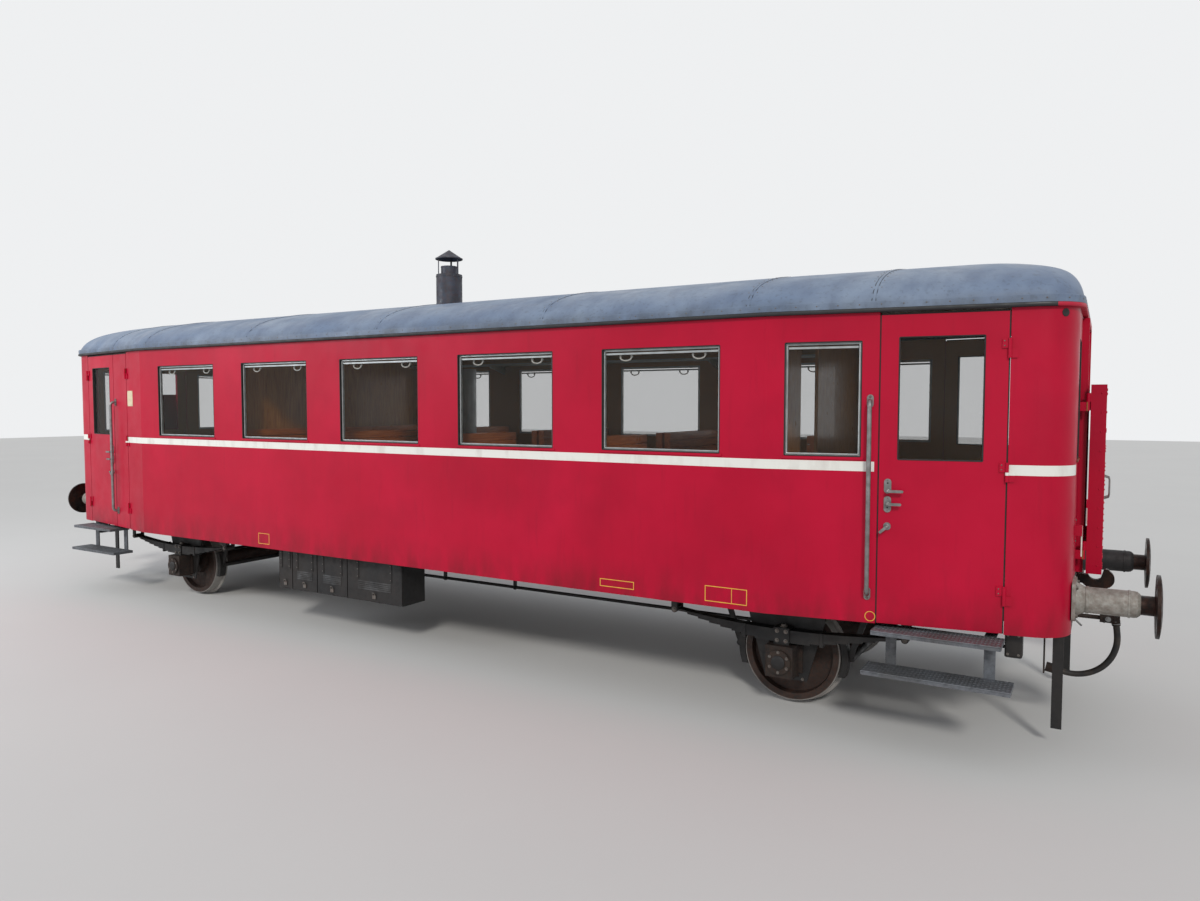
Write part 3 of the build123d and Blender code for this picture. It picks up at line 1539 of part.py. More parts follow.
cock_x = hose_start.X - nipple_length * exit_direction.X
cock_z = hose_start.Z - nipple_length * exit_direction.Z
with BuildPart() as air_cock:
    with BuildSketch(Plane(origin=hose_start, z_dir=exit_direction)):
        Circle(nipple_radius)
    extrude(amount=-nipple_length)
    with BuildSketch(Plane.YZ.offset(cock_x - cock_length)):
        with Locations((-hose_y, cock_z)):
            Circle(cock_radius)
    extrude(amount=cock_length + nipple_radius)
    with BuildSketch(Plane.YZ.offset(pipe_start_x)):
        with Locations((-hose_y, cock_z)):
            Circle(pipe_radius)
    extrude(amount=cock_x - pipe_start_x)
    with BuildSketch(Plane.XY.offset(cock_z)):
        with Locations((body_end_x - wall / 2, -hose_y)):
            Rectangle(wall, 3 * pipe_radius)
    extrude(amount=headstock_bottom_z - cock_z)

# Coupling head, which rests against a hanger under the end bearer
head_tilt = head_radius * head_direction.Z
head_length = (hose_end.X - rest_x - rest_thick - head_gap - head_tilt) / -head_direction.X
with BuildPart() as hose_head:
    with BuildSketch(Plane(origin=hose_end, z_dir=head_direction)):
        Circle(head_radius)
    extrude(amount=head_length)

with BuildPart() as hose_rest:
    with BuildSketch(Plane.XZ.offset(hose_y - rest_width / 2)):
        with BuildLine():
            Polyline(
                (rest_x, hose_end.Z - head_radius),
                (rest_x, bearer_bottom_z),
                (rest_x + rest_thick, bearer_bottom_z),
                (rest_x + rest_thick, hose_end.Z - head_radius),
                close=True,
            )
        make_face()
    extrude(amount=rest_width)

# Each entry: name, turn about the upright axis
for name, angle in (("right", 0), ("left", 180)):
    with BuildPart() as hose:
        add(brake_hose.part.rotate(Axis.Z, angle))
    hose.part.label = f"brake_hose_{name}"
    export_step(hose.part, f"parts/brake_hose_{name}.step")
    with BuildPart() as resting_head:
        add(hose_head.part.rotate(Axis.Z, angle))
    resting_head.part.label = f"hose_head_{name}"
    export_step(resting_head.part, f"parts/hose_head_{name}.step")

cocks = [air_cock.part, air_cock.part.rotate(Axis.Z, 180), hose_rest.part, hose_rest.part.rotate(Axis.Z, 180)]
with BuildPart() as air_cocks:
    add(cocks)
air_cocks.part.label = "air_cocks"
export_step(air_cocks.part, "parts/air_cocks.step")
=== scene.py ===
from math import atan, atan2, cos, hypot, pi, radians, sin, sqrt, tan

import bpy
from mathutils import Matrix, Vector
from mathutils.bvhtree import BVHTree


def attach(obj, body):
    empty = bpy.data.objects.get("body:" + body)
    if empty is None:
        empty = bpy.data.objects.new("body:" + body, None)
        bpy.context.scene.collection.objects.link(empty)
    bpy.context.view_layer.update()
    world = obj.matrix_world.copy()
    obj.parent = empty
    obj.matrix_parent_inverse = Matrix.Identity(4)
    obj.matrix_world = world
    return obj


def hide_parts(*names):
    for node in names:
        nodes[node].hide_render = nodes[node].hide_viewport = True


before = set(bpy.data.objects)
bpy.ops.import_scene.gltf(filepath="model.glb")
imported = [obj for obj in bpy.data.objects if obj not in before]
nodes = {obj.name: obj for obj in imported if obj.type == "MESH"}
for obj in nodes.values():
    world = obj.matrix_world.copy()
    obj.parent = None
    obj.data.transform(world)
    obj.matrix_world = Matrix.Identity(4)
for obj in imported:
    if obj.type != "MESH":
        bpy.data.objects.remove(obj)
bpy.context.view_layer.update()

# Sizes that the dressing shares with the part, in metres, with heights over the flanges' foot
RAIL = 0.028
HALF_WIDTH = 1.475
KINK = 3.75
BODY_END = 5.656
INSET = 0.309
BODY_END_HALF = HALF_WIDTH - INSET
CORNER = 0.25
EAVE = RAIL + 2.925
ROOF_BASE = EAVE + 0.04
GUTTER_END = 5.54
BODY_BOTTOM = RAIL + 0.826
FLOOR = RAIL + 1.15
STRIPE_LOW, STRIPE_HIGH = RAIL + 1.859, RAIL + 1.926
WINDOW_PITCH = 1.455
WINDOW_W, WINDOW_H, WINDOW_CORNER = 0.995, 0.787, 0.010
WINDOW_Z = RAIL + 2.3475
TAPER_WINDOW_X, TAPER_WINDOW_W, END_WINDOW_W = 4.135, 0.52, 0.34
SASH_W = 0.022
DOOR_IN, DOOR_OUT, LEAF_IN, GAP = 4.505, 5.278, 4.130, 0.010
STEP_FRONT = 1.450
BUFFER_Y, BUFFER_Z = 0.875, RAIL + 1.04
AXLE_X, AXLE_Z = 3.75, RAIL + 0.38
TAPER = atan(INSET / (BODY_END - KINK))
ENDS = (("right", 1), ("left", -1))
SIDES = (("near", -1), ("far", 1))

# Where the images of a near right drawing go, as the signs of their end and side
CORNERS = tuple((end, side) for _, end in ENDS for _, side in SIDES)
RIGHT_SIDES = CORNERS[:2]
TURNED_ROUND = (CORNERS[0], CORNERS[3])

UP, END_OUT, NEAR_OUT = Vector((0, 0, 1)), Vector((1, 0, 0)), Vector((0, -1, 0))


# Materials

def srgb(r, g, b):
    """Linear colour from the 0 to 255 values that a screen shows."""
    shares = [v / 255 for v in (r, g, b)]
    return tuple(v / 12.92 if v <= 10 / 255 else ((v + 0.055) / 1.055) ** 2.4 for v in shares) + (1,)


class Shader:
    """A node material under construction, with its texture coordinates in the row frame."""

    def __init__(self, name, colour, rough, metal=0.0, coat=0.0, specular=0.5):
        self.mat = bpy.data.materials.new(name)
        self.mat.use_nodes = True
        self.tree = self.mat.node_tree
        self.out = self.tree.nodes["Principled BSDF"]
        for socket, value in (("Base Color", colour), ("Roughness", rough), ("Metallic", metal),
                              ("Coat Weight", coat), ("Specular IOR Level", specular)):
            self.out.inputs[socket].default_value = value
        self.colour = colour
        coordinates = self.node("TexCoord").outputs
        self.place, self.normal = coordinates["Object"], coordinates["Normal"]

    def node(self, kind, **values):
        made = self.tree.nodes.new("ShaderNode" + kind)
        for key, value in values.items():
            setattr(made, key, value)
        return made

    def link(self, source, target):
        self.tree.links.new(source, target)

    def noise(self, size, stretch=(1, 1, 1), detail=4.0):
        mapping, made = self.node("Mapping"), self.node("TexNoise")
        mapping.inputs["Scale"].default_value = stretch
        for key, number in (("Scale", 1 / size), ("Detail", detail), ("Roughness", 0.55)):
            made.inputs[key].default_value = number
        self.link(self.place, mapping.inputs["Vector"])
        self.link(mapping.outputs["Vector"], made.inputs["Vector"])
        return made.outputs["Fac"]

    def ramp(self, value, low, high, to_low=0.0, to_high=1.0):
        made = self.node("MapRange")
        for key, number in (("From Min", low), ("From Max", high), ("To Min", to_low), ("To Max", to_high)):
            made.inputs[key].default_value = number
        self.link(value, made.inputs["Value"])
        return made.outputs["Result"]

    def math(self, kind, a, b):
        made = self.node("Math", operation=kind)
        for value, socket in ((a, made.inputs[0]), (b, made.inputs[1])):
            if isinstance(value, (int, float)):
                socket.default_value = value
            else:
                self.link(value, socket)
        return made.outputs["Value"]

    def axis(self, name, vector=None):
        """One coordinate of the place, or of another vector."""
        split = self.node("SeparateXYZ")
        self.link(self.place if vector is None else vector, split.inputs["Vector"])
        return split.outputs[name]

    def between(self, axis, low, high):
        """1 where a coordinate lies between two values."""
        place = self.axis(axis)
        above, below = self.math("GREATER_THAN", place, low), self.math("LESS_THAN", place, high)
        return self.math("MULTIPLY", above, below)

    def inward(self, axis):
        """1 on the faces that look back to the middle of the coach along the axis."""
        faced = self.math("MULTIPLY", self.axis(axis), self.axis(axis, self.normal))
        return self.math("LESS_THAN", faced, -0.4)

    def tint(self, factor, colour):
        """Mixes a colour over what the base colour is so far."""
        mix = self.node("Mix", data_type="RGBA")
        socket = self.out.inputs["Base Color"]
        if socket.is_linked:
            self.link(socket.links[0].from_socket, mix.inputs["A"])
        else:
            mix.inputs["A"].default_value = self.colour
        mix.inputs["B"].default_value = colour
        self.link(factor, mix.inputs["Factor"])
        self.link(mix.outputs["Result"], socket)

    def mottle(self, size, colour, amount, low=0.35, high=0.7, stretch=(1, 1, 1)):
        self.tint(self.ramp(self.noise(size, stretch), low, high, 0.0, amount), colour)

    def low_dirt(self, top, bottom, colour, amount):
        """Dirt that thickens from one height down to another."""
        height = self.ramp(self.axis("Z"), bottom, top, amount, 0.0)
        patch = self.ramp(self.noise(0.11, (1, 1, 0.35)), 0.3, 0.65)
        self.tint(self.math("MULTIPLY", height, patch), colour)

    def gloss(self, size, low, high):
        """Roughness that wanders from one value to another."""
        self.link(self.ramp(self.noise(size), 0.3, 0.7, low, high), self.out.inputs["Roughness"])

    def grain(self, size, depth, stretch=(1, 1, 1)):
        """Adds a bump of the given depth in metres."""
        bump = self.node("Bump")
        bump.inputs["Distance"].default_value = depth
        self.link(self.noise(size, stretch, detail=6.0), bump.inputs["Height"])
        socket = self.out.inputs["Normal"]
        if socket.is_linked:
            self.link(socket.links[0].from_socket, bump.inputs["Normal"])
        self.link(bump.outputs["Normal"], socket)


def paint_red(name, stripe=None, inner="Y"):
    """Crimson coach paint with painted patches of sunlight and shade, and varnished panelling on the faces
    that look inward along one axis.
    The stripe is the X range that the off-white waist stripe covers."""
    s = Shader(name, srgb(172, 0, 42), 0.4, coat=0.04, specular=0.2)
    # Painted light: the large lighter pink patches paint dappled sunlight, and the darker patches paint
    # dappled shade
    s.mottle(1.1, srgb(198, 8, 56), 0.6, 0.4, 0.75)
    s.mottle(0.5, srgb(150, 0, 38), 0.5, 0.45, 0.75, (1, 1, 0.7))
    s.mottle(0.05, srgb(134, 8, 36), 0.2, 0.58, 0.75, (1, 1, 0.12))
    if stripe:
        band = s.math("MULTIPLY", s.between("Z", STRIPE_LOW, STRIPE_HIGH), s.between("X", *stripe))
        s.tint(band, srgb(226, 226, 220))
        worn = s.ramp(s.noise(0.12, (1, 1, 0.3)), 0.5, 0.75, 0.0, 0.5)
        s.tint(s.math("MULTIPLY", band, worn), srgb(186, 176, 170))
    s.low_dirt(RAIL + 1.12, RAIL + 0.8, srgb(74, 22, 26), 0.5)
    if inner:
        s.tint(s.inward(inner), srgb(168, 122, 76))
    s.gloss(0.2, 0.34, 0.5)
    s.grain(0.006, 0.0002)
    s.grain(0.45, 0.0016)
    return s.mat


def plain(name, colour, rough, metal=0.0, coat=0.0, spots=(), grain=(0.004, 0.0002), gloss=None):
    """Material from a base colour, mottles (size, colour, amount), one grain and a gloss range."""
    s = Shader(name, colour, rough, metal, coat)
    for spot in spots:
        s.mottle(*spot)
    if gloss:
        s.gloss(*gloss)
    s.grain(*grain)
    return s.mat


def wood(name, light, dark, axis):
    """Varnished boards whose grain runs along one axis, given as 0, 1 or 2."""
    stretch = tuple(0.06 if k == axis else 1.0 for k in range(3))
    s = Shader(name, light, 0.32, coat=0.25)
    s.mottle(0.012, dark, 0.75, 0.35, 0.7, stretch)
    s.mottle(0.0035, dark, 0.35, 0.45, 0.7, stretch)
    s.mottle(0.5, dark, 0.3)
    s.gloss(0.08, 0.26, 0.45)
    s.grain(0.004, 0.0004, stretch)
    return s.mat


def roof_paint():
    """Weathered blue grey with painted patches of sunlight and shade, dirty at the eaves, with the light
    ceiling lining on its underside.
    """
    s = Shader("roof_grey_blue", srgb(100, 118, 144), 0.45)
    # Painted light: the large lighter patches paint sunlight on the roof, and the darker bluish patches paint
    # shade lit by the sky
    s.mottle(0.9, srgb(134, 148, 166), 0.75, 0.35, 0.7)
    s.mottle(0.16, srgb(76, 90, 116), 0.6, 0.4, 0.75, (1, 0.4, 1))
    s.mottle(0.03, srgb(62, 66, 70), 0.4, 0.55, 0.75)
    edge = s.ramp(s.axis("Z"), ROOF_BASE, ROOF_BASE + 0.09, 0.55, 0.0)
    s.tint(s.math("MULTIPLY", edge, s.ramp(s.noise(0.2, (1, 1, 0.3)), 0.3, 0.6)), srgb(58, 62, 66))
    s.tint(s.math("LESS_THAN", s.axis("Z", s.normal), -0.15), srgb(206, 198, 176))
    s.gloss(0.3, 0.34, 0.62)
    s.grain(0.02, 0.0006)
    s.grain(0.5, 0.004)
    return s.mat


def gutter_paint():
    """Black gutter that turns red round the right end, under the roof's grey edge. Round the left end the
    black stays, as painted shade under the roof's overhang.
    """
    s = Shader("gutter_paint", srgb(26, 27, 30), 0.5)
    s.mottle(0.12, srgb(48, 50, 52), 0.4)
    # Red only past the right end; round the left end the black paints the shade under the roof's overhang
    s.tint(s.math("GREATER_THAN", s.axis("X"), GUTTER_END), srgb(174, 0, 44))
    s.tint(s.math("GREATER_THAN", s.axis("Z"), EAVE + 0.027), srgb(95, 109, 130))
    s.gloss(0.1, 0.4, 0.7)
    s.grain(0.006, 0.0003)
    return s.mat


def sleeve_paint():
    """Light grey weathered sleeves on the near side, and painted shade that makes the sleeves on the far side
    dark.
    """
    s = Shader("weathered_sleeve_far_shade", srgb(168, 167, 160), 0.6, 0.2)
    s.mottle(0.05, srgb(120, 116, 108), 0.8)
    s.mottle(0.02, rust, 0.35)
    s.mottle(0.3, srgb(70, 64, 60), 0.4)
    # Painted shade: the sleeves on the far side are darkened as if in shadow
    s.tint(s.math("GREATER_THAN", s.axis("Y"), 0), srgb(34, 33, 34))
    s.gloss(0.05, 0.5, 0.8)
    s.grain(0.01, 0.0008)
    return s.mat


def wheel_steel():
    """Brown web and rim with a bright tread and flange, by the distance from the axle."""
    s = Shader("wheel_steel", srgb(48, 40, 36), 0.7, 0.3)
    s.mottle(0.08, srgb(28, 25, 24), 0.7)
    s.mottle(0.02, rust, 0.3)
    x = s.math("SUBTRACT", s.math("ABSOLUTE", s.axis("X"), 0), AXLE_X)
    z = s.math("SUBTRACT", s.axis("Z"), AXLE_Z)
    radius = s.math("SQRT", s.math("ADD", s.math("MULTIPLY", x, x), s.math("MULTIPLY", z, z)), 0)
    s.tint(s.ramp(radius, 0.368, 0.377), srgb(150, 146, 142))
    s.gloss(0.05, 0.45, 0.8)
    s.grain(0.008, 0.0008)
    return s.mat


def clear_glass():
    s = Shader("window_glass_clear", srgb(40, 46, 44), 0.03)
    s.mottle(0.5, srgb(74, 78, 74), 0.4)
    s.out.inputs["Alpha"].default_value = 0.16
    s.out.inputs["IOR"].default_value = 1.5
    return s.mat


dust = srgb(92, 78, 64)
rust = srgb(96, 52, 30)
M = {
    "red": paint_red("coach_red"),
    "red_end": paint_red("coach_red_ends", inner="X"),
    "red_plain": paint_red("coach_red_fittings", inner=None),
    "red_stripe": paint_red("coach_red_striped", (-9.0, 9.0)),
    "red_panel": paint_red("coach_red_panels", (-4.2, 4.478)),
    "black": plain("chassis_black", srgb(15, 15, 17), 0.6, grain=(0.008, 0.0006), gloss=(0.1, 0.4, 0.75),
                   spots=((0.3, dust, 0.12), (0.03, srgb(8, 8, 9), 0.5))),
    "aluminium": plain("window_aluminium", srgb(176, 180, 180), 0.36, 0.7, grain=(0.002, 0.0001),
                       spots=((0.08, srgb(130, 134, 134), 0.6),), gloss=(0.05, 0.3, 0.5)),
    # Painted shade: the dark beads beside each roof seam strip stand for the seam's shadow line
    "seam_shadow_bead": plain("seam_shadow_paint", srgb(52, 58, 66), 0.7, spots=((0.05, srgb(84, 92, 100), 0.5),)),
    "cream": plain("cream_plate", srgb(214, 200, 168), 0.5, spots=((0.05, srgb(180, 160, 128), 0.5),)),
    "rubber": plain("gasket_rubber", srgb(22, 22, 23), 0.7, spots=((0.06, srgb(46, 45, 44), 0.5),)),
    "chimney": plain("chimney_paint", srgb(52, 62, 78), 0.5, grain=(0.01, 0.0008), gloss=(0.06, 0.35, 0.7),
                     spots=((0.09, srgb(30, 34, 40), 0.8), (0.03, rust, 0.25))),
    "stove": plain("stove_jacket", srgb(150, 152, 154), 0.4, 0.8, spots=((0.2, srgb(110, 110, 112), 0.6),),
                   gloss=(0.1, 0.3, 0.5)),
    "rail": plain("rail_steel", srgb(142, 142, 142), 0.4, 0.7, spots=((0.05, srgb(96, 94, 92), 0.7),),
                  gloss=(0.04, 0.28, 0.55)),
    "step": plain("galvanised_tread", srgb(122, 126, 132), 0.5, 0.7, gloss=(0.03, 0.4, 0.7),
                  spots=((0.03, srgb(88, 92, 98), 0.7), (0.25, srgb(70, 66, 60), 0.5))),
    "greased": plain("greased_iron", srgb(26, 24, 23), 0.35, 0.6, grain=(0.012, 0.001),
                     spots=((0.07, rust, 0.4), (0.02, srgb(8, 8, 8), 0.6)), gloss=(0.05, 0.25, 0.65)),
    "cast": plain("cast_black", srgb(21, 20, 20), 0.65, 0.3, spots=((0.1, dust, 0.2), (0.02, rust, 0.16)),
                  grain=(0.006, 0.0012), gloss=(0.06, 0.5, 0.85)),
    "hose": plain("hose_rubber_black", srgb(24, 24, 25), 0.62, grain=(0.003, 0.0004),
                  spots=((0.05, dust, 0.35),)),
    "board": wood("varnished_boards", srgb(198, 136, 66), srgb(132, 76, 30), 2),
    "slat": wood("bench_slats", srgb(222, 128, 62), srgb(150, 74, 32), 1),
    "floor": wood("floor_boards_worn", srgb(112, 88, 66), srgb(64, 48, 36), 0),
    "white": plain("white_paint", srgb(224, 222, 214), 0.4, spots=((0.04, srgb(170, 164, 152), 0.5),)),
    "yellow": plain("yellow_mark", srgb(222, 176, 62), 0.45, spots=((0.04, srgb(196, 120, 60), 0.5),)),
    "brown": plain("brown_varnish", srgb(118, 62, 38), 0.4, coat=0.2, spots=((0.05, srgb(74, 38, 24), 0.6),)),
    "zinc": plain("zinc_bolt", srgb(120, 118, 114), 0.45, 0.8, spots=((0.02, rust, 0.4),)),
    "roof": roof_paint(),
    "gutter": gutter_paint(),
    "sleeve": sleeve_paint(),
    "wheel": wheel_steel(),
    "glass": clear_glass(),
}

# Materials of the solids, by the longest start of a name that fits
NODE_MATERIAL = {
    "floor": "floor", "side_wall": "red_stripe", "taper_panels": "red_panel", "end_corners": "red_stripe",
    "end_walls": "red_end", "cantrail": "gutter", "roof": "roof", "window_frames": "aluminium",
    "window_glass": "glass", "end_glass": "glass", "door_glass": "glass", "gangway_glass": "glass",
    "gangway_door": "red_end", "door_": "red", "luggage_left": "red", "guard_": "red_plain",
    "chimney": "chimney", "stove": "stove", "partitions": "board", "benches": "slat",
    "luggage_racks": "aluminium", "battery_boxes": "black", "sole_bars": "black", "cross_bearers": "black",
    "headstocks": "black", "buffer_sleeves": "sleeve", "buffer_heads": "greased", "draw_hooks": "greased",
    "axle_guards": "black", "axleboxes": "cast", "leaf_springs": "black", "spring_hangers": "black",
    "rail_guards": "black", "entry_steps": "step", "grab_rails": "rail", "brake_rigging": "black",
    "air_vessels": "black", "air_cocks": "cast", "hose_head": "cast", "brake_hose": "hose",
    "wheelset": "wheel",
}
for name, thing in nodes.items():
    key = max((k for k in NODE_MATERIAL if name.startswith(k)), key=len)
    for material_slot in thing.material_slots:
        material_slot.material = M[NODE_MATERIAL[key]]


# Shapes: lists of points and faces that become one object each

def linked(name, data):
    made = bpy.data.objects.new(name, data)
    bpy.context.scene.collection.objects.link(made)
    return made


class Shape:
    """Points and faces, with each face's material as its place in the list of materials."""

    def __init__(self, *materials):
        self.materials = materials
        self.points, self.faces, self.kinds = [], [], []

    def add(self, points, faces, kind=0):
        start = len(self.points)
        self.points += [tuple(p) for p in points]
        self.faces += [tuple(start + k for k in face) for face in faces]
        self.kinds += [kind] * len(faces)

    def loft(self, rings, kind=0, caps=True, loop=False):
        """Skin through rings of equally many points; loop joins the last ring to the first."""
        count = len(rings[0])
        faces = []
        for i in range(len(rings) if loop else len(rings) - 1):
            a, b = i * count, ((i + 1) % len(rings)) * count
            for k in range(count):
                m = (k + 1) % count
                faces.append((a + k, a + m, b + m, b + k))
        if caps and not loop:
            faces.append(tuple(reversed(range(count))))
            faces.append(tuple((len(rings) - 1) * count + k for k in range(count)))
        self.add([p for ring in rings for p in ring], faces, kind)

    def lathe(self, base, axis, profile, segments=12, kind=0, caps=True):
        """Solid of revolution: profile lists (radius, height along the axis)."""
        axis = Vector(axis).normalized()
        side = axis.orthogonal().normalized()
        up, base = axis.cross(side), Vector(base)
        rings = [circle(base + axis * height, side, up, radius, segments) for radius, height in profile]
        self.loft(rings, kind, caps)

    def rivet(self, base, axis, radius, kind=0):
        profile = ((radius, -0.0005), (radius * 0.85, radius * 0.4), (radius * 0.4, radius * 0.7))
        self.lathe(base, axis, profile, 8, kind)

    def bolt(self, base, axis, radius, kind=0):
        """Hexagon head on a washer."""
        self.lathe(base, axis, ((radius * 1.5, -0.0005), (radius * 1.5, radius * 0.25)), 12, kind)
        self.lathe(base, axis, ((radius, 0.0), (radius, radius * 0.8), (radius * 0.8, radius)), 6, kind)

    def ring_band(self, base, axis, radius, width, proud, kind=0, segments=24):
        """Raised band round a cylinder."""
        foot, top = radius - 0.001, radius + proud
        profile = ((foot, 0.0), (top, 0.15 * width), (top, 0.85 * width), (foot, width))
        self.lathe(base, axis, profile, segments, kind, caps=False)

    def tube(self, path, radius, segments=10, kind=0):
        path = [Vector(p) for p in path]
        rings, side = [], None
        for i, point in enumerate(path):
            run = (path[min(i + 1, len(path) - 1)] - path[max(i - 1, 0)]).normalized()
            side = (side - run * side.dot(run)).normalized() if side else run.orthogonal().normalized()
            rings.append(circle(point, side, run.cross(side), radius, segments))
        self.loft(rings, kind)

    def block(self, low, high, chamfer=0.002, kind=0, matrix=None):
        """Box with its edges cut back, in the row frame or in a wall's own."""
        (x0, y0, z0), (x1, y1, z1) = low, high
        c = min(chamfer, (x1 - x0) / 3, (y1 - y0) / 3, (z1 - z0) / 3)

        def ring(z, inset):
            a, b, e, d = x0 + inset, x1 - inset, y0 + inset, y1 - inset
            return [(a + c, e, z), (b - c, e, z), (b, e + c, z), (b, d - c, z),
                    (b - c, d, z), (a + c, d, z), (a, d - c, z), (a, e + c, z)]

        rings = [ring(z0, c), ring(z0 + c, 0), ring(z1 - c, 0), ring(z1, c)]
        if matrix:
            rings = [[matrix @ Vector(p) for p in r] for r in rings]
        self.loft(rings, kind)

    def join_image(self, other, end, side):
        """Adds the image, at the given end and side, of a shape drawn at the near right."""
        start, mirrored = len(self.points), end == side
        self.points += [(x * end, y * -side, z) for x, y, z in other.points]
        for face in other.faces:
            self.faces.append(tuple(start + k for k in (reversed(face) if mirrored else face)))
        self.kinds += other.kinds

    def make(self, name, body, slot):
        mesh = bpy.data.meshes.new(name)
        mesh.from_pydata(self.points, [], self.faces)
        mesh.update()
        for material in self.materials:
            mesh.materials.append(M[material])
        mesh.polygons.foreach_set("material_index", self.kinds)
        obj = linked(name, mesh)
        mesh.polygons.foreach_set("use_smooth", [True] * len(mesh.polygons))
        mesh.set_sharp_from_angle(angle=radians(35))
        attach(obj, body)


def circle(centre, side, up, radius, segments):
    turns = [2 * pi * k / segments for k in range(segments)]
    return [centre + (side * cos(a) + up * sin(a)) * radius for a in turns]


def repeated(draw, *materials, places=CORNERS):
    """One shape of a near right drawing's images at the given places."""
    drawn, whole = Shape(*materials), Shape(*materials)
    draw(drawn)
    for end, side in places:
        whole.join_image(drawn, end, side)
    return whole


# Frames on the walls: local x along the wall, local y up, local z out of it
def wall_frame(origin, along_wall, out):
    axes = Vector(along_wall).normalized(), UP, Vector(out).normalized()
    matrix = Matrix(axes).transposed().to_4x4()
    matrix.translation = Vector(origin)
    return matrix


NEAR_WALL = wall_frame((0, -HALF_WIDTH, 0), (1, 0, 0), (0, -1, 0))
TAPER_WALL = wall_frame((KINK, -HALF_WIDTH, 0), (cos(TAPER), sin(TAPER), 0), (sin(TAPER), -cos(TAPER), 0))
END_WALL = wall_frame((BODY_END, 0, 0), (0, 1, 0), (1, 0, 0))
OUT = TAPER_WALL.to_3x3() @ UP


def along(x):
    """Distance along the tapered wall from the kink."""
    return (x - KINK) / cos(TAPER)


def taper(s, z, out=0.0):
    """Point on or over the tapered wall."""
    return TAPER_WALL @ Vector((s, z, out))


def body_plan(margin, steps=8):
    """Outline of the body seen from above, grown outward, running round from the near right corner."""
    normal_x, normal_y = sin(TAPER), -cos(TAPER)
    reach = KINK * normal_x + HALF_WIDTH * cos(TAPER)
    centre_x = BODY_END - CORNER
    centre_y = (reach - CORNER - centre_x * normal_x) / normal_y
    first, quarter = atan2(normal_y, normal_x), []
    for k in range(steps + 1):
        angle = first * (1 - k / steps)
        quarter.append((centre_x + (CORNER + margin) * cos(angle), centre_y + (CORNER + margin) * sin(angle)))
    kink_y = -(HALF_WIDTH + margin)
    kink_x = (reach + margin - kink_y * normal_y) / normal_x
    near_right = [(kink_x, kink_y)] + quarter
    near = near_right + [(x, -y) for x, y in reversed(near_right)]
    return near + [(-x, -y) for x, y in near]


def band(shape, profile):
    """Strip round the whole body from a profile of (distance outward, height)."""
    shape.loft([[(x, y, z) for x, y in body_plan(out)] for out, z in profile], loop=True)


# Camera: fitted to the five equal windows, the floor line, the eave and the buffers
camera_data = bpy.data.cameras.new("view")
camera_data.sensor_width = 36.0
camera_data.lens = 25.608
camera_data.clip_end = 200
camera = linked("view", camera_data)
camera.location = (5.820, -7.2365, 2.334)
camera.rotation_euler = (radians(90 - 3.047), radians(-0.045), radians(30.702))
bpy.context.scene.camera = camera
bpy.context.scene.view_settings.view_transform = "Standard"

# Brake hoses: the same route as the solid, smooth, turned round for the left end
HOSE_Y = 0.35
HOSE_ROUTE = (
    (5.915, 0.775), (5.926, 0.696), (5.919, 0.616), (5.890, 0.536), (5.839, 0.468),
    (5.774, 0.421), (5.698, 0.395), (5.623, 0.393), (5.555, 0.407),
)
for end_name, end in ENDS:
    curve = bpy.data.curves.new(f"hose_{end_name}", "CURVE")
    curve.dimensions = "3D"
    curve.bevel_depth = 0.021
    curve.bevel_resolution = 4
    curve.resolution_u = 8
    curve.use_fill_caps = True
    line = curve.splines.new("NURBS")
    line.points.add(len(HOSE_ROUTE) - 1)
    for point, (x, height) in zip(line.points, HOSE_ROUTE):
        point.co = (end * x, -end * HOSE_Y, RAIL + height, 1)
    line.order_u = 3
    line.use_endpoint_u = True
    hose = linked(f"brake_hose_line_{end_name}", curve)
    hose.data.materials.append(M["hose"])
    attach(hose, "coach")
    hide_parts(f"brake_hose_{end_name}")
    start = (end * HOSE_ROUTE[0][0], -end * HOSE_Y, RAIL + HOSE_ROUTE[0][1])

# Roof: seams across it with painted shadow lines and rivets, the gutter bead, the folded lip
roof_tree = BVHTree.FromObject(nodes["roof"], bpy.context.evaluated_depsgraph_get())
ROOF_MID = ROOF_BASE - 0.25
SEAM_PLACES = (0.0, -1.85, 1.85, -3.62, 3.62, -4.46, 4.46)
SEAM_STEPS, SEAM_RIVET_REACH = 48, 0.032
# The strip and two dark beads that paint the shadow line at its sides, as (distance along the coach, height
# over the skin) and a material
SEAM_SECTIONS = (
    (((-0.011, -0.004), (-0.009, 0.006), (0.009, 0.006), (0.011, -0.004)), 0),
    (((-0.0175, -0.003), (-0.0165, 0.0025), (-0.0105, 0.0035), (-0.0100, -0.003)), 2),
    (((0.0100, -0.003), (0.0105, 0.0035), (0.0135, 0.0025), (0.0145, -0.003)), 2),
)


def roof_point(x, angle, lift):
    """Point on the roof's skin in the cross plane at x, in a direction seen from below its middle."""
    way = Vector((0, sin(angle), cos(angle)))
    hit = roof_tree.ray_cast(Vector((x, 0, ROOF_MID)) + way * 3, -way)[0]
    return hit + way * lift if hit else None


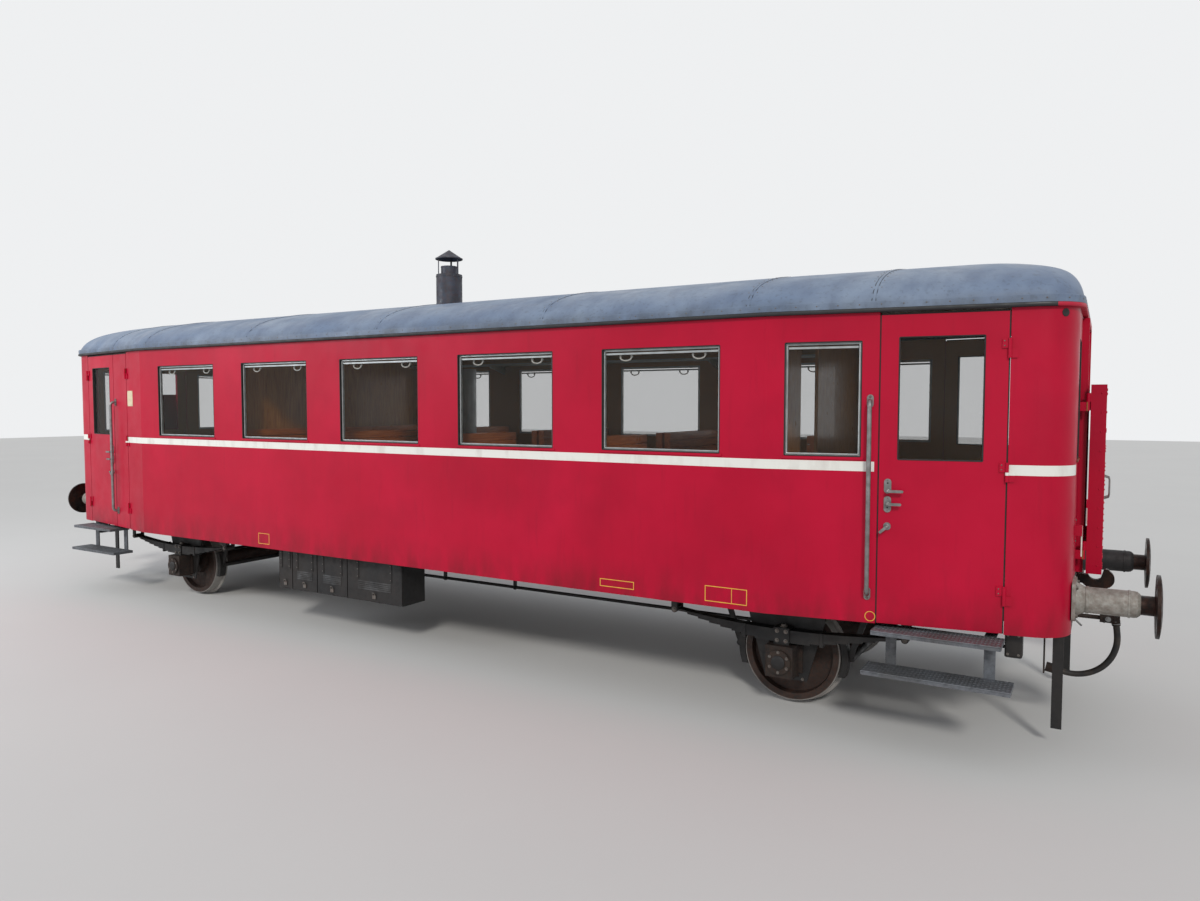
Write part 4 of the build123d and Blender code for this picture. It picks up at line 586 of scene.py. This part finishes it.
def draw_seam(shape, x):
    half = HALF_WIDTH - max(0.0, abs(x) - KINK) * tan(TAPER)
    limit = atan2(half + 0.004, ROOF_BASE + 0.034 - ROOF_MID)
    for section, kind in SEAM_SECTIONS:
        angles = (-limit + 2 * limit * k / SEAM_STEPS for k in range(SEAM_STEPS + 1))
        rings = [[roof_point(x + dx, angle, lift) for dx, lift in section] for angle in angles]
        shape.loft([ring for ring in rings if None not in ring], kind)
    for k in range(1, SEAM_STEPS):
        angle = -limit + 2 * limit * (k + 0.5) / SEAM_STEPS
        for dx in (-SEAM_RIVET_REACH, SEAM_RIVET_REACH):
            head = roof_point(x + dx, angle, 0.0002)
            if head:
                shape.rivet(head, (0, sin(angle), cos(angle)), 0.0045, 1)


seams = Shape("roof", "zinc", "seam_shadow_bead")
for x in SEAM_PLACES:
    draw_seam(seams, x)
seams.make("roof_seams", "coach", "roof_grey")

gutter = Shape("gutter")
band(gutter, ((0.018, EAVE + 0.001), (0.030, EAVE + 0.002), (0.034, EAVE + 0.008), (0.034, EAVE + 0.019),
              (0.031, EAVE + 0.025), (0.018, EAVE + 0.026)))
gutter.make("gutter_bead", "coach", "gutter_dark")

LIP_OUT, LIP_RIVET_PITCH = 0.0285, 0.14
lip = Shape("roof", "zinc")
band(lip, ((0.012, EAVE + 0.0275), (LIP_OUT, EAVE + 0.0275), (LIP_OUT, ROOF_BASE + 0.030),
           (0.024, ROOF_BASE + 0.036), (0.012, ROOF_BASE + 0.037)))
outline = body_plan(LIP_OUT, 16)
gone = LIP_RIVET_PITCH / 2
for (ax, ay), (bx, by) in zip(outline, outline[1:] + outline[:1]):
    length = hypot(bx - ax, by - ay)
    out = Vector((by - ay, ax - bx, 0)) / length
    while gone < length:
        t = gone / length
        lip.rivet((ax + (bx - ax) * t, ay + (by - ay) * t, ROOF_BASE + 0.012), out, 0.005, 1)
        gone += LIP_RIVET_PITCH
    gone -= length
lip.make("roof_lip", "coach", "roof_grey")


# Windows: gasket, rim of the sash, top rail, sill and pull loops
def rounded_ring(width, height, radius):
    half_w, half_h = width / 2 - radius, height / 2 - radius
    centres = ((half_w, half_h, 0), (-half_w, half_h, 90), (-half_w, -half_h, 180), (half_w, -half_h, 270))
    steps, ring = 5, []
    for x, y, start in centres:
        for angle in (radians(start + 90 * k / steps) for k in range(steps + 1)):
            ring.append((x + radius * cos(angle), y + radius * sin(angle)))
    return ring


def picture_frame(shape, matrix, centre, size, radius, profile, kind=0):
    """Ring round an opening: profile lists (distance outward from its edge, distance out of the wall)."""
    rings = []
    for out, proud in profile:
        ring = rounded_ring(size[0] + 2 * out, size[1] + 2 * out, max(radius + out, 0.002))
        rings.append([matrix @ Vector((centre[0] + x, centre[1] + y, proud)) for x, y in ring])
    shape.loft(rings, kind, loop=True)


def plate(shape, matrix, centre, size, radius, depth, kind=0):
    """Flat plate with a rounded outline and a small edge, standing on the face of a frame."""
    edge, rings = 0.0012, []
    for inset, out in ((0.0, -0.0005), (0.0, depth - edge), (edge, depth)):
        ring = rounded_ring(size[0] - 2 * inset, size[1] - 2 * inset, max(radius - inset, 0.0005))
        rings.append([matrix @ Vector((centre[0] + x, centre[1] + y, out)) for x, y in ring])
    shape.loft(rings, kind)


GASKET = ((-0.0005, -0.040), (-0.0005, 0.0), (-0.003, 0.002), (-0.007, 0.0005), (-0.007, -0.0225))
SASH_RIM = ((0.001, -0.0215), (0.011, -0.0215), (0.011, -0.0175), (0.005, -0.0165), (0.001, -0.0185))
LOOP_HALF, LOOP_SAG, LOOP_DROP = 0.05, 0.028, 0.042


def dress_window(shape, matrix, centre, size, loops=()):
    """Loops are the places of the pull loops, as shares of the width from the middle."""
    picture_frame(shape, matrix, centre, size, WINDOW_CORNER, GASKET, 1)
    inner = (size[0] - 2 * SASH_W, size[1] - 2 * SASH_W)
    picture_frame(shape, matrix, centre, inner, 0.004, SASH_RIM)
    top, foot = centre[1] + inner[1] / 2, centre[1] - size[1] / 2
    left, right = centre[0] - size[0] / 2, centre[0] + size[0] / 2
    shape.block((left + 0.026, top - 0.026, -0.0285), (right - 0.026, top - 0.010, -0.0240), 0.002, 0, matrix)
    shape.block((left - 0.016, foot - 0.020, -0.001), (right + 0.016, foot - 0.001, 0.009), 0.003, 3, matrix)
    for share in loops:
        x, z = centre[0] + share * size[0], top - LOOP_DROP
        arc = [matrix @ Vector((x + LOOP_HALF * cos(a), z - LOOP_SAG * sin(a), -0.052))
               for a in (pi * k / 10 for k in range(11))]
        shape.tube(arc, 0.006, 8, 2)
        for dx in (-LOOP_HALF, LOOP_HALF):
            shape.lathe(matrix @ Vector((x + dx, z, -0.056)), UP,
                        ((0.008, -0.004), (0.010, 0.006), (0.008, 0.014)), 8, 2)


def draw_side_windows(shape):
    for k in range(-2, 3):
        dress_window(shape, NEAR_WALL, (WINDOW_PITCH * k, WINDOW_Z), (WINDOW_W, WINDOW_H), (-0.31, 0.31))
    dress_window(shape, TAPER_WALL, (along(TAPER_WINDOW_X), WINDOW_Z), (TAPER_WINDOW_W, WINDOW_H))


def draw_end_windows(shape):
    y = BODY_END_HALF - CORNER - 0.066 - END_WINDOW_W / 2
    for middle in (-y, y):
        dress_window(shape, END_WALL, (middle, WINDOW_Z), (END_WINDOW_W, WINDOW_H))


repeated(draw_side_windows, "aluminium", "rubber", "white", "red_plain", places=RIGHT_SIDES).make(
    "window_dressing", "coach", "frame_aluminium")
repeated(draw_end_windows, "brown", "rubber", "white", "brown", places=TURNED_ROUND).make(
    "end_window_dressing", "coach", "frame_aluminium")

# Side doors: gasket of the window, hinge screws, edge seals, steel handles
DOOR_EDGES = along(DOOR_IN) + GAP / 2, along(DOOR_OUT) - GAP / 2
LEAF_EDGES = along(LEAF_IN) + GAP / 2, along(DOOR_IN) - GAP / 2
DOOR_MID = (along(DOOR_IN) + along(DOOR_OUT)) / 2 - 0.011
DOOR_WINDOW = 0.527, 0.82
DOOR_GASKET = ((-0.0005, -0.036), (-0.0005, 0.0), (-0.003, 0.0025), (-0.009, 0.0005), (-0.009, -0.036))
LEAF_FOOT, LEAF_HEAD = BODY_BOTTOM + 0.006, EAVE - 0.020
HINGE_HEIGHTS = (1.078, 1.878, 2.670)
HANDLE_S = along(DOOR_IN) + 0.062
# Each entry: spindle, middle of the plate over it, height of the plate, lever, its turn
HANDLES = ((1.733, 0.032, 0.098, 0.092, 0), (1.646, -0.004, 0.108, 0.080, 0), (1.494, 0.0, 0.050, 0.055, 221))


def draw_seals(shape, edges, inner):
    """Rubber on a leaf's outer and upper edges, and on its inner edge where that meets a fixed wall."""
    start, finish = edges
    strips = [(finish, finish + 0.0085, LEAF_FOOT, LEAF_HEAD), (start, finish, LEAF_HEAD, LEAF_HEAD + 0.012)]
    if inner:
        strips.append((start - 0.0085, start, LEAF_FOOT, LEAF_HEAD))
    for left, right, foot, head in strips:
        shape.block((left, foot, -0.014), (right, head, -0.004), 0.001, 0, TAPER_WALL)


def draw_door(shape, inner):
    picture_frame(shape, TAPER_WALL, (DOOR_MID, RAIL + 2.35), DOOR_WINDOW, WINDOW_CORNER, DOOR_GASKET)
    for z in HINGE_HEIGHTS:
        for dz in (0.016, 0.046):
            shape.rivet(taper(along(DOOR_OUT) - 0.032, RAIL + z + dz, 0.010), OUT, 0.005, 1)
    draw_seals(shape, DOOR_EDGES, inner)


def draw_handles(shape):
    for spindle, rise, height, lever, turn in HANDLES:
        z = RAIL + spindle
        middle = z + rise
        plate(shape, TAPER_WALL, (HANDLE_S, middle), (0.0476, height + 0.0016), 0.0228, 0.0079)
        shape.lathe(taper(HANDLE_S, z, 0.006), OUT,
                    ((0.0135, 0.0), (0.0135, 0.004), (0.0097, 0.006), (0.0097, 0.036)), 14)
        grip = TAPER_WALL @ Matrix.Translation((HANDLE_S, z, 0.0404)) @ Matrix.Rotation(radians(turn), 4, "Z")
        plate(shape, grip, (lever / 2, 0), (lever + 0.0194, 0.0194), 0.0097, 0.0104)
        shape.lathe(taper(HANDLE_S, z, 0.050), OUT, ((0.0085, 0.0), (0.007, 0.003), (0.003, 0.0045)), 12)
        if height > 0.06:
            for way in (-1, 1):
                shape.rivet(taper(HANDLE_S, middle + way * (height / 2 - 0.012), 0.0074), OUT, 0.0045, 1)
            keyhole = taper(HANDLE_S, middle + (0.020 if rise > 0 else -0.020), 0.0072)
            shape.lathe(keyhole, OUT, ((0.0060, 0.0), (0.0060, 0.0012), (0.0045, 0.0013)), 12, 2)


def draw_grab(shape):
    """Steel sleeve over the upright grab rail, with a bolted plate over each foot."""
    s, low, high, stand, bend = along(4.447), RAIL + 1.028, RAIL + 2.335, 0.062, 0.038
    arc = [(bend * (1 - cos(a)), stand - bend + bend * sin(a)) for a in (pi / 2 * k / 6 for k in range(7))]
    path = [(low, 0.004)] + [(low + z, d) for z, d in arc] + [(high - z, d) for z, d in reversed(arc)]
    path.append((high, 0.004))
    shape.tube([taper(s, z, d) for z, d in path], 0.0157, 14)
    for z in (low, high):
        plate(shape, TAPER_WALL, (s, z), (0.0436, 0.0876), 0.0216, 0.0090)
        for dz in (-0.029, 0.029):
            shape.bolt(taper(s, z + dz, 0.0088), OUT, 0.0065, 1)


for end_name, end in ENDS:
    for side_name, side in SIDES:
        place, body = ((end, side),), f"door_{end_name}_{side_name}"
        repeated(lambda shape: draw_door(shape, end > 0), "rubber", "zinc", places=place).make(
            f"door_dressing_{end_name}_{side_name}", body, "red_paint")
        repeated(draw_handles, "rail", "zinc", "rubber", places=place).make(
            f"door_handles_{end_name}_{side_name}", body, "rail_grey")
for side_name, side in SIDES:
    place, body = ((-1, side),), f"luggage_left_{side_name}"
    repeated(draw_grab, "rail", "zinc", "rubber", places=place).make(
        f"leaf_rail_left_{side_name}", body, "rail_grey")
    repeated(lambda shape: draw_seals(shape, LEAF_EDGES, True), "rubber", places=place).make(
        f"leaf_seal_left_{side_name}", body, "red_paint")
repeated(draw_grab, "rail", "zinc", places=RIGHT_SIDES).make("grab_rail_dressing", "coach", "rail_grey")


# Steps: raised lugs on every tread, a rounded front edge, bolts on the hangers
def draw_steps(shape):
    mid, lug_pitch = (DOOR_IN + DOOR_OUT) / 2, 0.0245
    for top, length in ((RAIL + 0.8, 0.796), (RAIL + 0.52, 0.920)):
        columns = round((length - 0.04) / lug_pitch)
        for i in range(columns + 1):
            for j in range(9):
                turn = 1 if (i + j) % 2 else -1
                run = Vector((0.0095, 0.0095 * turn, 0))
                cross = Vector((-0.003 * turn, 0.003, 0))
                base = Vector((mid + (i - columns / 2) * lug_pitch, -(STEP_FRONT - 0.014 - j * 0.0258),
                               top - 0.0005))
                crown = [base + run * way + UP * 0.0025 for way in (0.6, -0.6)]
                shape.add([base + run, base + cross, base - run, base - cross, *crown],
                          [(0, 1, 5, 4), (1, 2, 5), (2, 3, 5), (3, 0, 4, 5)])
        for x in (mid - 0.312, mid + 0.312):
            for dx in (-0.018, 0.018):
                shape.bolt((x + dx, -STEP_FRONT + 0.235 + 0.012, top - 0.015), -NEAR_OUT, 0.007, 1)
        shape.tube([(mid + way * (length / 2 - 0.004), -STEP_FRONT - 0.001, top - 0.004) for way in (-1, 1)],
                   0.0045, 8)


repeated(draw_steps, "step", "zinc").make("step_treads", "coach", "step_steel")


# Ends: buffer bolts and rings, headstock rivets, junction boxes, lamp irons, lamp sockets
def draw_end(shape):
    for dy in (-0.112, 0.112):
        for dz in (-0.092, 0.092):
            shape.bolt((BODY_END + 0.022, -BUFFER_Y + dy, BUFFER_Z + dz), END_OUT, 0.014)
    for x, radius, width, proud in ((5.730, 0.085, 0.022, 0.004), (5.965, 0.085, 0.016, 0.004),
                                    (6.010, 0.0795, 0.010, 0.003)):
        shape.ring_band((x, -BUFFER_Y, BUFFER_Z), END_OUT, radius, width, proud, 1)
    for y in (-0.30, -0.42, -0.54, -0.66):
        for z in (RAIL + 0.862, RAIL + 1.105):
            shape.rivet((BODY_END, y, z), END_OUT, 0.010)
    for y in (-0.070, -0.035):
        for z in (RAIL + 0.968, RAIL + 1.092):
            shape.bolt((BODY_END + 0.014, y, z), END_OUT, 0.009)


def draw_junction_box(shape):
    """Box on the sole bar's face with a bolted cover, and the conduit that runs in from it."""
    left, right, foot, head, front, back = 5.282, 5.386, 0.684, 0.930, -1.128, -1.026
    cover = front - 0.006
    shape.block((left, front, foot), (right, back, head), 0.006)
    shape.block((left + 0.008, cover, foot + 0.012), (right - 0.008, front + 0.002, foot + 0.162), 0.003)
    for x in (left + 0.020, right - 0.020):
        for z in (foot + 0.024, foot + 0.150):
            shape.bolt((x, cover + 0.0005, z), NEAR_OUT, 0.006, 1)
    shape.tube([(left + 0.002, -1.075, 0.740), (5.240, -1.075, 0.740), (5.215, -1.070, 0.752),
                (5.203, -1.062, 0.775), (5.200, -1.050, 0.860), (5.200, -1.045, 0.955)], 0.011, 10)


def draw_lamp_iron(shape):
    """Bracket with a white tongue, bolted to the end wall."""
    y, front = -0.892, BODY_END + 0.047
    shape.block((BODY_END - 0.001, y - 0.020, 1.484), (front - 0.001, y + 0.020, 1.556), 0.003)
    shape.block((front - 0.009, y - 0.012, 1.350), (front, y + 0.012, 1.553), 0.003, 1)
    shape.block((BODY_END - 0.001, y - 0.026, 1.440), (BODY_END + 0.006, y + 0.026, 1.600), 0.002)
    for z in (1.452, 1.588):
        shape.bolt((BODY_END + 0.0055, y, z), END_OUT, 0.006, 2)


def draw_socket(shape):
    """Lamp socket on the rounded corner, under the eave, with a black disc that paints the shade in its open
    hole.
    """
    angle = radians(-45.7)
    out = Vector((cos(angle), sin(angle), 0))
    centre = Vector((5.406, -0.9533, 2.915)) + out * CORNER
    # Painted shade: the black rubber disc stands for the shaded hole of the socket
    shape.lathe(centre, out, ((0.026, -0.001), (0.026, 0.002), (0.019, 0.003), (0.015, 0.0005)), 16)
    for dz in (-0.02, 0.02):
        shape.rivet(centre + out * 0.0015 + UP * dz, out, 0.004)


repeated(draw_end, "zinc", "sleeve").make("end_fastenings", "coach", "buffer_dark")
repeated(draw_junction_box, "black", "zinc").make("junction_boxes", "coach", "underframe_black")
repeated(draw_lamp_iron, "red_plain", "white", "zinc").make("lamp_irons", "coach", "red_paint")
repeated(draw_socket, "rubber").make("lamp_sockets", "coach", "gutter_dark")

# Guard leaves: rivets round the tray and a handle. The face lies past the stand-off, the gap and the tray
GUARD_FACE = BODY_END + 0.048 + 0.016 + 0.096
GUARD_FOOT, GUARD_HEAD = FLOOR - 0.012, RAIL + 2.450


def draw_guard(shape):
    for k in range(10):
        z = GUARD_FOOT + 0.06 + k * (GUARD_HEAD - GUARD_FOOT - 0.12) / 9
        for y in (-0.026, -0.424):
            shape.rivet((GUARD_FACE, y, z), END_OUT, 0.006)
        shape.rivet((GUARD_FACE - 0.030, -0.442, z), NEAR_OUT, 0.006)
    for y in (-0.126, -0.225, -0.324):
        for z in (GUARD_FOOT + 0.03, GUARD_HEAD - 0.03):
            shape.rivet((GUARD_FACE, y, z), END_OUT, 0.006)
    handle = ((0, 1.66), (0.028, 1.67), (0.032, 1.69), (0.032, 1.79), (0.028, 1.81), (0, 1.82))
    shape.tube([(GUARD_FACE + out, -0.060, z) for out, z in handle], 0.006, 8, 1)


for end_name, end in ENDS:
    for side_name, side in SIDES:
        repeated(draw_guard, "red_plain", "rail", places=((end, side),)).make(
            f"guard_dressing_{end_name}_{side_name}", f"guard_{end_name}_{side_name}", "red_paint")

# Marks: thin blank frames and a ring on the near side, a blank plate at the left end
MARK_BACK, MARK_FRONT = -0.0003, 0.0006
PLATE_S, PLATE_Z = along(4.035), 2.406
marks = Shape("yellow", "cream", "zinc")
for left, right, foot, head in ((-1.726, -1.557, 0.896, 1.008), (3.300, 3.629, 0.891, 1.008),
                                (2.399, 2.705, 0.904, 0.966)):
    centre, size = ((left + right) / 2, (foot + head) / 2), (right - left, head - foot)
    picture_frame(marks, NEAR_WALL, centre, size, 0.002,
                  ((-0.006, MARK_BACK), (-0.006, MARK_FRONT), (0.0, MARK_FRONT), (0.0, MARK_BACK)))
marks.block((3.508, 0.899, MARK_BACK), (3.513, 1.000, MARK_FRONT), 0.0002, 0, NEAR_WALL)
marks.lathe(taper(along(4.468), 0.900), OUT,
            ((0.030, MARK_BACK), (0.030, MARK_FRONT), (0.035, MARK_FRONT), (0.035, MARK_BACK)),
            28, caps=False)
plates = Shape("yellow", "cream", "zinc")
plate(plates, TAPER_WALL, (PLATE_S, PLATE_Z), (0.140, 0.180), 0.006, 0.003, 1)
for ds in (-0.06, 0.06):
    for dz in (-0.08, 0.08):
        plates.rivet(taper(PLATE_S + ds, PLATE_Z + dz, 0.0028), OUT, 0.004, 2)
marks.join_image(plates, -1, -1)
marks.make("blank_marks", "coach", "red_paint")

# Running gear: cover bolts, spring buckle nuts, hanger nuts, stay bolts, spring clips
SPRING_HALF, SPRING_RISE, LEAVES = 0.88, 0.055, 0.096
SPRING_RADIUS = (SPRING_HALF ** 2 + SPRING_RISE ** 2) / (2 * SPRING_RISE)
SPRING_CENTRE = AXLE_Z + 0.12 + 0.016 + LEAVES + SPRING_RADIUS
EYE_Z = SPRING_CENTRE - sqrt((SPRING_RADIUS + 0.006) ** 2 - SPRING_HALF ** 2)
EYE_REACH = SPRING_HALF + 0.013
CLIP_REACH = 0.30
CLIP_Z = SPRING_CENTRE - sqrt((SPRING_RADIUS + 0.05) ** 2 - CLIP_REACH ** 2)
COVER_Y, BUCKLE_Y, HANGER_Y, STAY_Y = -1.138, -1.067, -1.0714, -0.953


def draw_gear(shape):
    for k in range(6):
        angle = radians(30 + 60 * k)
        shape.bolt((AXLE_X + 0.076 * cos(angle), COVER_Y, AXLE_Z + 0.076 * sin(angle)), NEAR_OUT, 0.008)
    shape.lathe((AXLE_X, COVER_Y - 0.0002, AXLE_Z), NEAR_OUT,
                ((0.052, -0.001), (0.052, 0.006), (0.046, 0.010), (0.020, 0.012)), 24, 1)
    for dx in (-0.034, 0.034):
        for dz in (0.150, 0.222):
            shape.bolt((AXLE_X + dx, BUCKLE_Y, AXLE_Z + dz), NEAR_OUT, 0.011)
    shape.bolt((AXLE_X, -1.012, AXLE_Z + 0.248), UP, 0.022)
    for way in (-1, 1):
        for dz, radius in ((0.0, 0.014), (0.085, 0.009), (0.160, 0.009)):
            shape.bolt((AXLE_X + way * EYE_REACH, HANGER_Y, EYE_Z + dz), NEAR_OUT, radius)
        for dx, z in ((0.122, 0.312), (0.132, 0.252)):
            shape.bolt((AXLE_X + way * dx, STAY_Y, z), NEAR_OUT, 0.008)
        x = AXLE_X + way * CLIP_REACH
        shape.block((x - 0.014, -1.063, CLIP_Z - 0.052), (x + 0.014, -0.961, CLIP_Z + 0.056), 0.003, 1)


repeated(draw_gear, "zinc", "black").make("gear_fastenings", "coach", "underframe_black")

# Battery boxes: strap hinges and a toggle latch on each bay, louvres on the wide ones
BAYS = (-1.590, -1.380, -1.010, -0.580, 0.150)
BAY_FACE = -(HALF_WIDTH - 0.147 + 0.008)
BAY_ROOT = BAY_FACE + 0.001
boxes = Shape("black", "zinc")
for left, right in zip(BAYS, BAYS[1:]):
    middle, width = (left + right) / 2, right - left
    for dx in (-0.3, 0.3):
        x = middle + dx * width
        boxes.block((x - 0.014, BAY_FACE - 0.006, 0.640), (x + 0.014, BAY_ROOT, 0.846), 0.002)
        for z in (0.665, 0.735, 0.800):
            boxes.rivet((x, BAY_FACE - 0.006, z), NEAR_OUT, 0.006, 1)
    boxes.block((middle - 0.022, BAY_FACE - 0.010, 0.462), (middle + 0.022, BAY_ROOT, 0.500), 0.003, 1)
    latch = ((-0.016, 0.008, 0.498), (-0.010, 0.016, 0.522), (0.010, 0.016, 0.522), (0.016, 0.008, 0.498))
    boxes.tube([(middle + dx, BAY_FACE - out, z) for dx, out, z in latch], 0.004, 8, 1)
    if width > 0.3:
        start, finish = middle - 0.30 * width, middle + 0.30 * width
        for k in range(5):
            z = 0.545 + 0.018 * k
            boxes.add([(start, BAY_ROOT, z), (finish, BAY_ROOT, z),
                       (finish, BAY_FACE - 0.007, z - 0.001), (start, BAY_FACE - 0.007, z - 0.001),
                       (start, BAY_ROOT, z + 0.012), (finish, BAY_ROOT, z + 0.012)],
                      [(0, 1, 2, 3), (3, 2, 5, 4), (0, 3, 4), (1, 5, 2), (0, 4, 5, 1)])
boxes.make("battery_box_fittings", "coach", "underframe_black")


# Brake pipes: a collar at the headstock, the cock's lever and nut, bands on the cock and the nipple
def draw_pipe(shape):
    nipple = Vector((-0.1379, 0, 0.9904))
    y, z = -HOSE_Y, RAIL + 0.775 + 0.045 * 0.9904
    shape.ring_band((5.605, y, z), END_OUT, 0.015, 0.03, 0.010, 0, 16)
    shape.lathe((5.640, y - 0.010, z), NEAR_OUT, ((0.013, 0.0), (0.013, 0.022), (0.010, 0.026)), 12)
    shape.tube([(5.634, y - 0.031, z - 0.006), (5.668, y - 0.032, z - 0.030), (5.706, y - 0.032, z - 0.066)],
               0.0065, 10, 1)
    for share in (0.2, 0.62):
        base = Vector((HOSE_ROUTE[0][0], y, RAIL + HOSE_ROUTE[0][1])) + nipple * 0.045 * share
        shape.ring_band(base, nipple, 0.027, 0.008, 0.0022, 1, 20)
    for x in (5.835, 5.895):
        shape.ring_band((x, y, z), END_OUT, 0.032, 0.012, 0.003, 0, 20)
    shape.bolt((5.865, y - 0.0315, z), NEAR_OUT, 0.012, 1)


repeated(draw_pipe, "cast", "rail", "black", places=TURNED_ROUND).make(
    "brake_pipe_fittings", "coach", "cast_box")

# Air reservoirs: end bands, wide bands in the straps, a drain plug under each
vessels = Shape("black", "rail")
for left, right, y, radius in ((0.390, 1.570, 0.450, 0.170), (-1.570, -0.390, -0.350, 0.140)):
    z = RAIL + 0.950 - 0.015 - radius
    for x, width, proud, kind in ((left + 0.028, 0.022, 0.004, 0), (right - 0.050, 0.022, 0.004, 0),
                                  (left + 0.30, 0.030, 0.003, 1), (right - 0.33, 0.030, 0.003, 1)):
        vessels.ring_band((x, y, z), END_OUT, radius, width, proud, kind, 40)
    vessels.lathe(((left + right) / 2, y, z - radius + 0.002), -UP,
                  ((0.018, 0.0), (0.018, 0.012), (0.010, 0.014), (0.010, 0.030)), 12, 1)
vessels.make("reservoir_bands", "coach", "underframe_black")

# Chimney: bands, flashing rivets and jacket rivets
CHIMNEY_X, CHIMNEY_TOP = -0.390, RAIL + 3.690
ROOF_TOP = ROOF_BASE + 0.385 * 0.992
flue = Shape("chimney", "zinc")
for z, radius, width, segments in ((ROOF_TOP + 0.045, 0.140, 0.018, 40), (CHIMNEY_TOP, 0.140, 0.018, 40),
                                   (RAIL + 3.884, 0.145, 0.014, 40), (RAIL + 3.795, 0.088, 0.012, 32)):
    flue.ring_band((CHIMNEY_X, 0, z), UP, radius, width, 0.003, 0, segments)
for k in range(12):
    angle = 2 * pi * k / 12
    out = Vector((cos(angle), sin(angle), 0))
    axis = Vector((CHIMNEY_X, 0, 0))
    flue.rivet(axis + out * 0.162 + UP * (ROOF_TOP + 0.013), UP, 0.005, 1)
    flue.rivet(axis + out * 0.1425 + UP * (CHIMNEY_TOP + 0.009), out, 0.004, 1)
flue.make("chimney_bands", "coach", "chimney_steel")

# Ceiling lamps: a steel rim and a white bowl, under the vault or under the lower roof ends
inside = Shape("white", "rail")
for x in (-4.5, -2.9, -1.45, 1.45, 2.9, 4.5):
    height = ROOF_BASE + (0.3415 if abs(x) < 3 else 0.315)
    inside.lathe((x, 0, height), -UP, ((0.13, -0.01), (0.13, 0.012), (0.12, 0.022)), 28, 1)
    inside.lathe((x, 0, height - 0.02), -UP, ((0.115, 0.0), (0.112, 0.03), (0.085, 0.065), (0.04, 0.082)), 28)
inside.make("ceiling_lamps", "coach", "frame_aluminium")

# Light and background: soft light on the coach, and a paler background for what looks past it
world = bpy.data.worlds.new("studio")
world.use_nodes = True
bpy.context.scene.world = world
tree = world.node_tree
tree.nodes.clear()
light_path = tree.nodes.new("ShaderNodeLightPath")
seen = light_path.outputs["Is Camera Ray"]
for ray in ("Is Glossy Ray", "Is Transmission Ray"):
    either = tree.nodes.new("ShaderNodeMath")
    either.operation = "MAXIMUM"
    tree.links.new(seen, either.inputs[0])
    tree.links.new(light_path.outputs[ray], either.inputs[1])
    seen = either.outputs[0]
mixer = tree.nodes.new("ShaderNodeMixShader")
tree.links.new(seen, mixer.inputs[0])
for k, (colour, strength) in enumerate((((0.93, 0.95, 1.0, 1), 0.62), ((0.86, 0.87, 0.88, 1), 1.0))):
    background = tree.nodes.new("ShaderNodeBackground")
    background.inputs["Color"].default_value = colour
    background.inputs["Strength"].default_value = strength
    tree.links.new(background.outputs[0], mixer.inputs[k + 1])
tree.links.new(mixer.outputs[0], tree.nodes.new("ShaderNodeOutputWorld").inputs["Surface"])

FLOOR_HALF = 60
floor_mesh = bpy.data.meshes.new("studio_floor")
floor_mesh.from_pydata([(FLOOR_HALF * x, FLOOR_HALF * y, 0) for x, y in ((-1, -1), (1, -1), (1, 1), (-1, 1))],
                       [], [(0, 1, 2, 3)])
floor_mesh.materials.append(
    plain("studio_floor", srgb(206, 206, 204), 0.9, spots=((3.0, srgb(198, 198, 197), 0.3),)))
ground = linked("studio_floor", floor_mesh)


def lamp(name, kind, place, target, **values):
    """Light that looks from a place at a target."""
    data = bpy.data.lights.new(name, kind)
    for key, value in values.items():
        setattr(data, key, value)
    made = linked(name, data)
    made.location = place
    made.rotation_euler = (Vector(target) - Vector(place)).to_track_quat("-Z", "Y").to_euler()


lamp("key", "SUN", (9, -14, 12), (1, 0, 1.5), energy=1.5, color=(1.0, 0.97, 0.92), angle=radians(9))
lamp("fill", "AREA", (-9, -9, 6), (-1, 0, 1.5), energy=420, color=(0.92, 0.95, 1.0),
     shape="RECTANGLE", size=6, size_y=4)
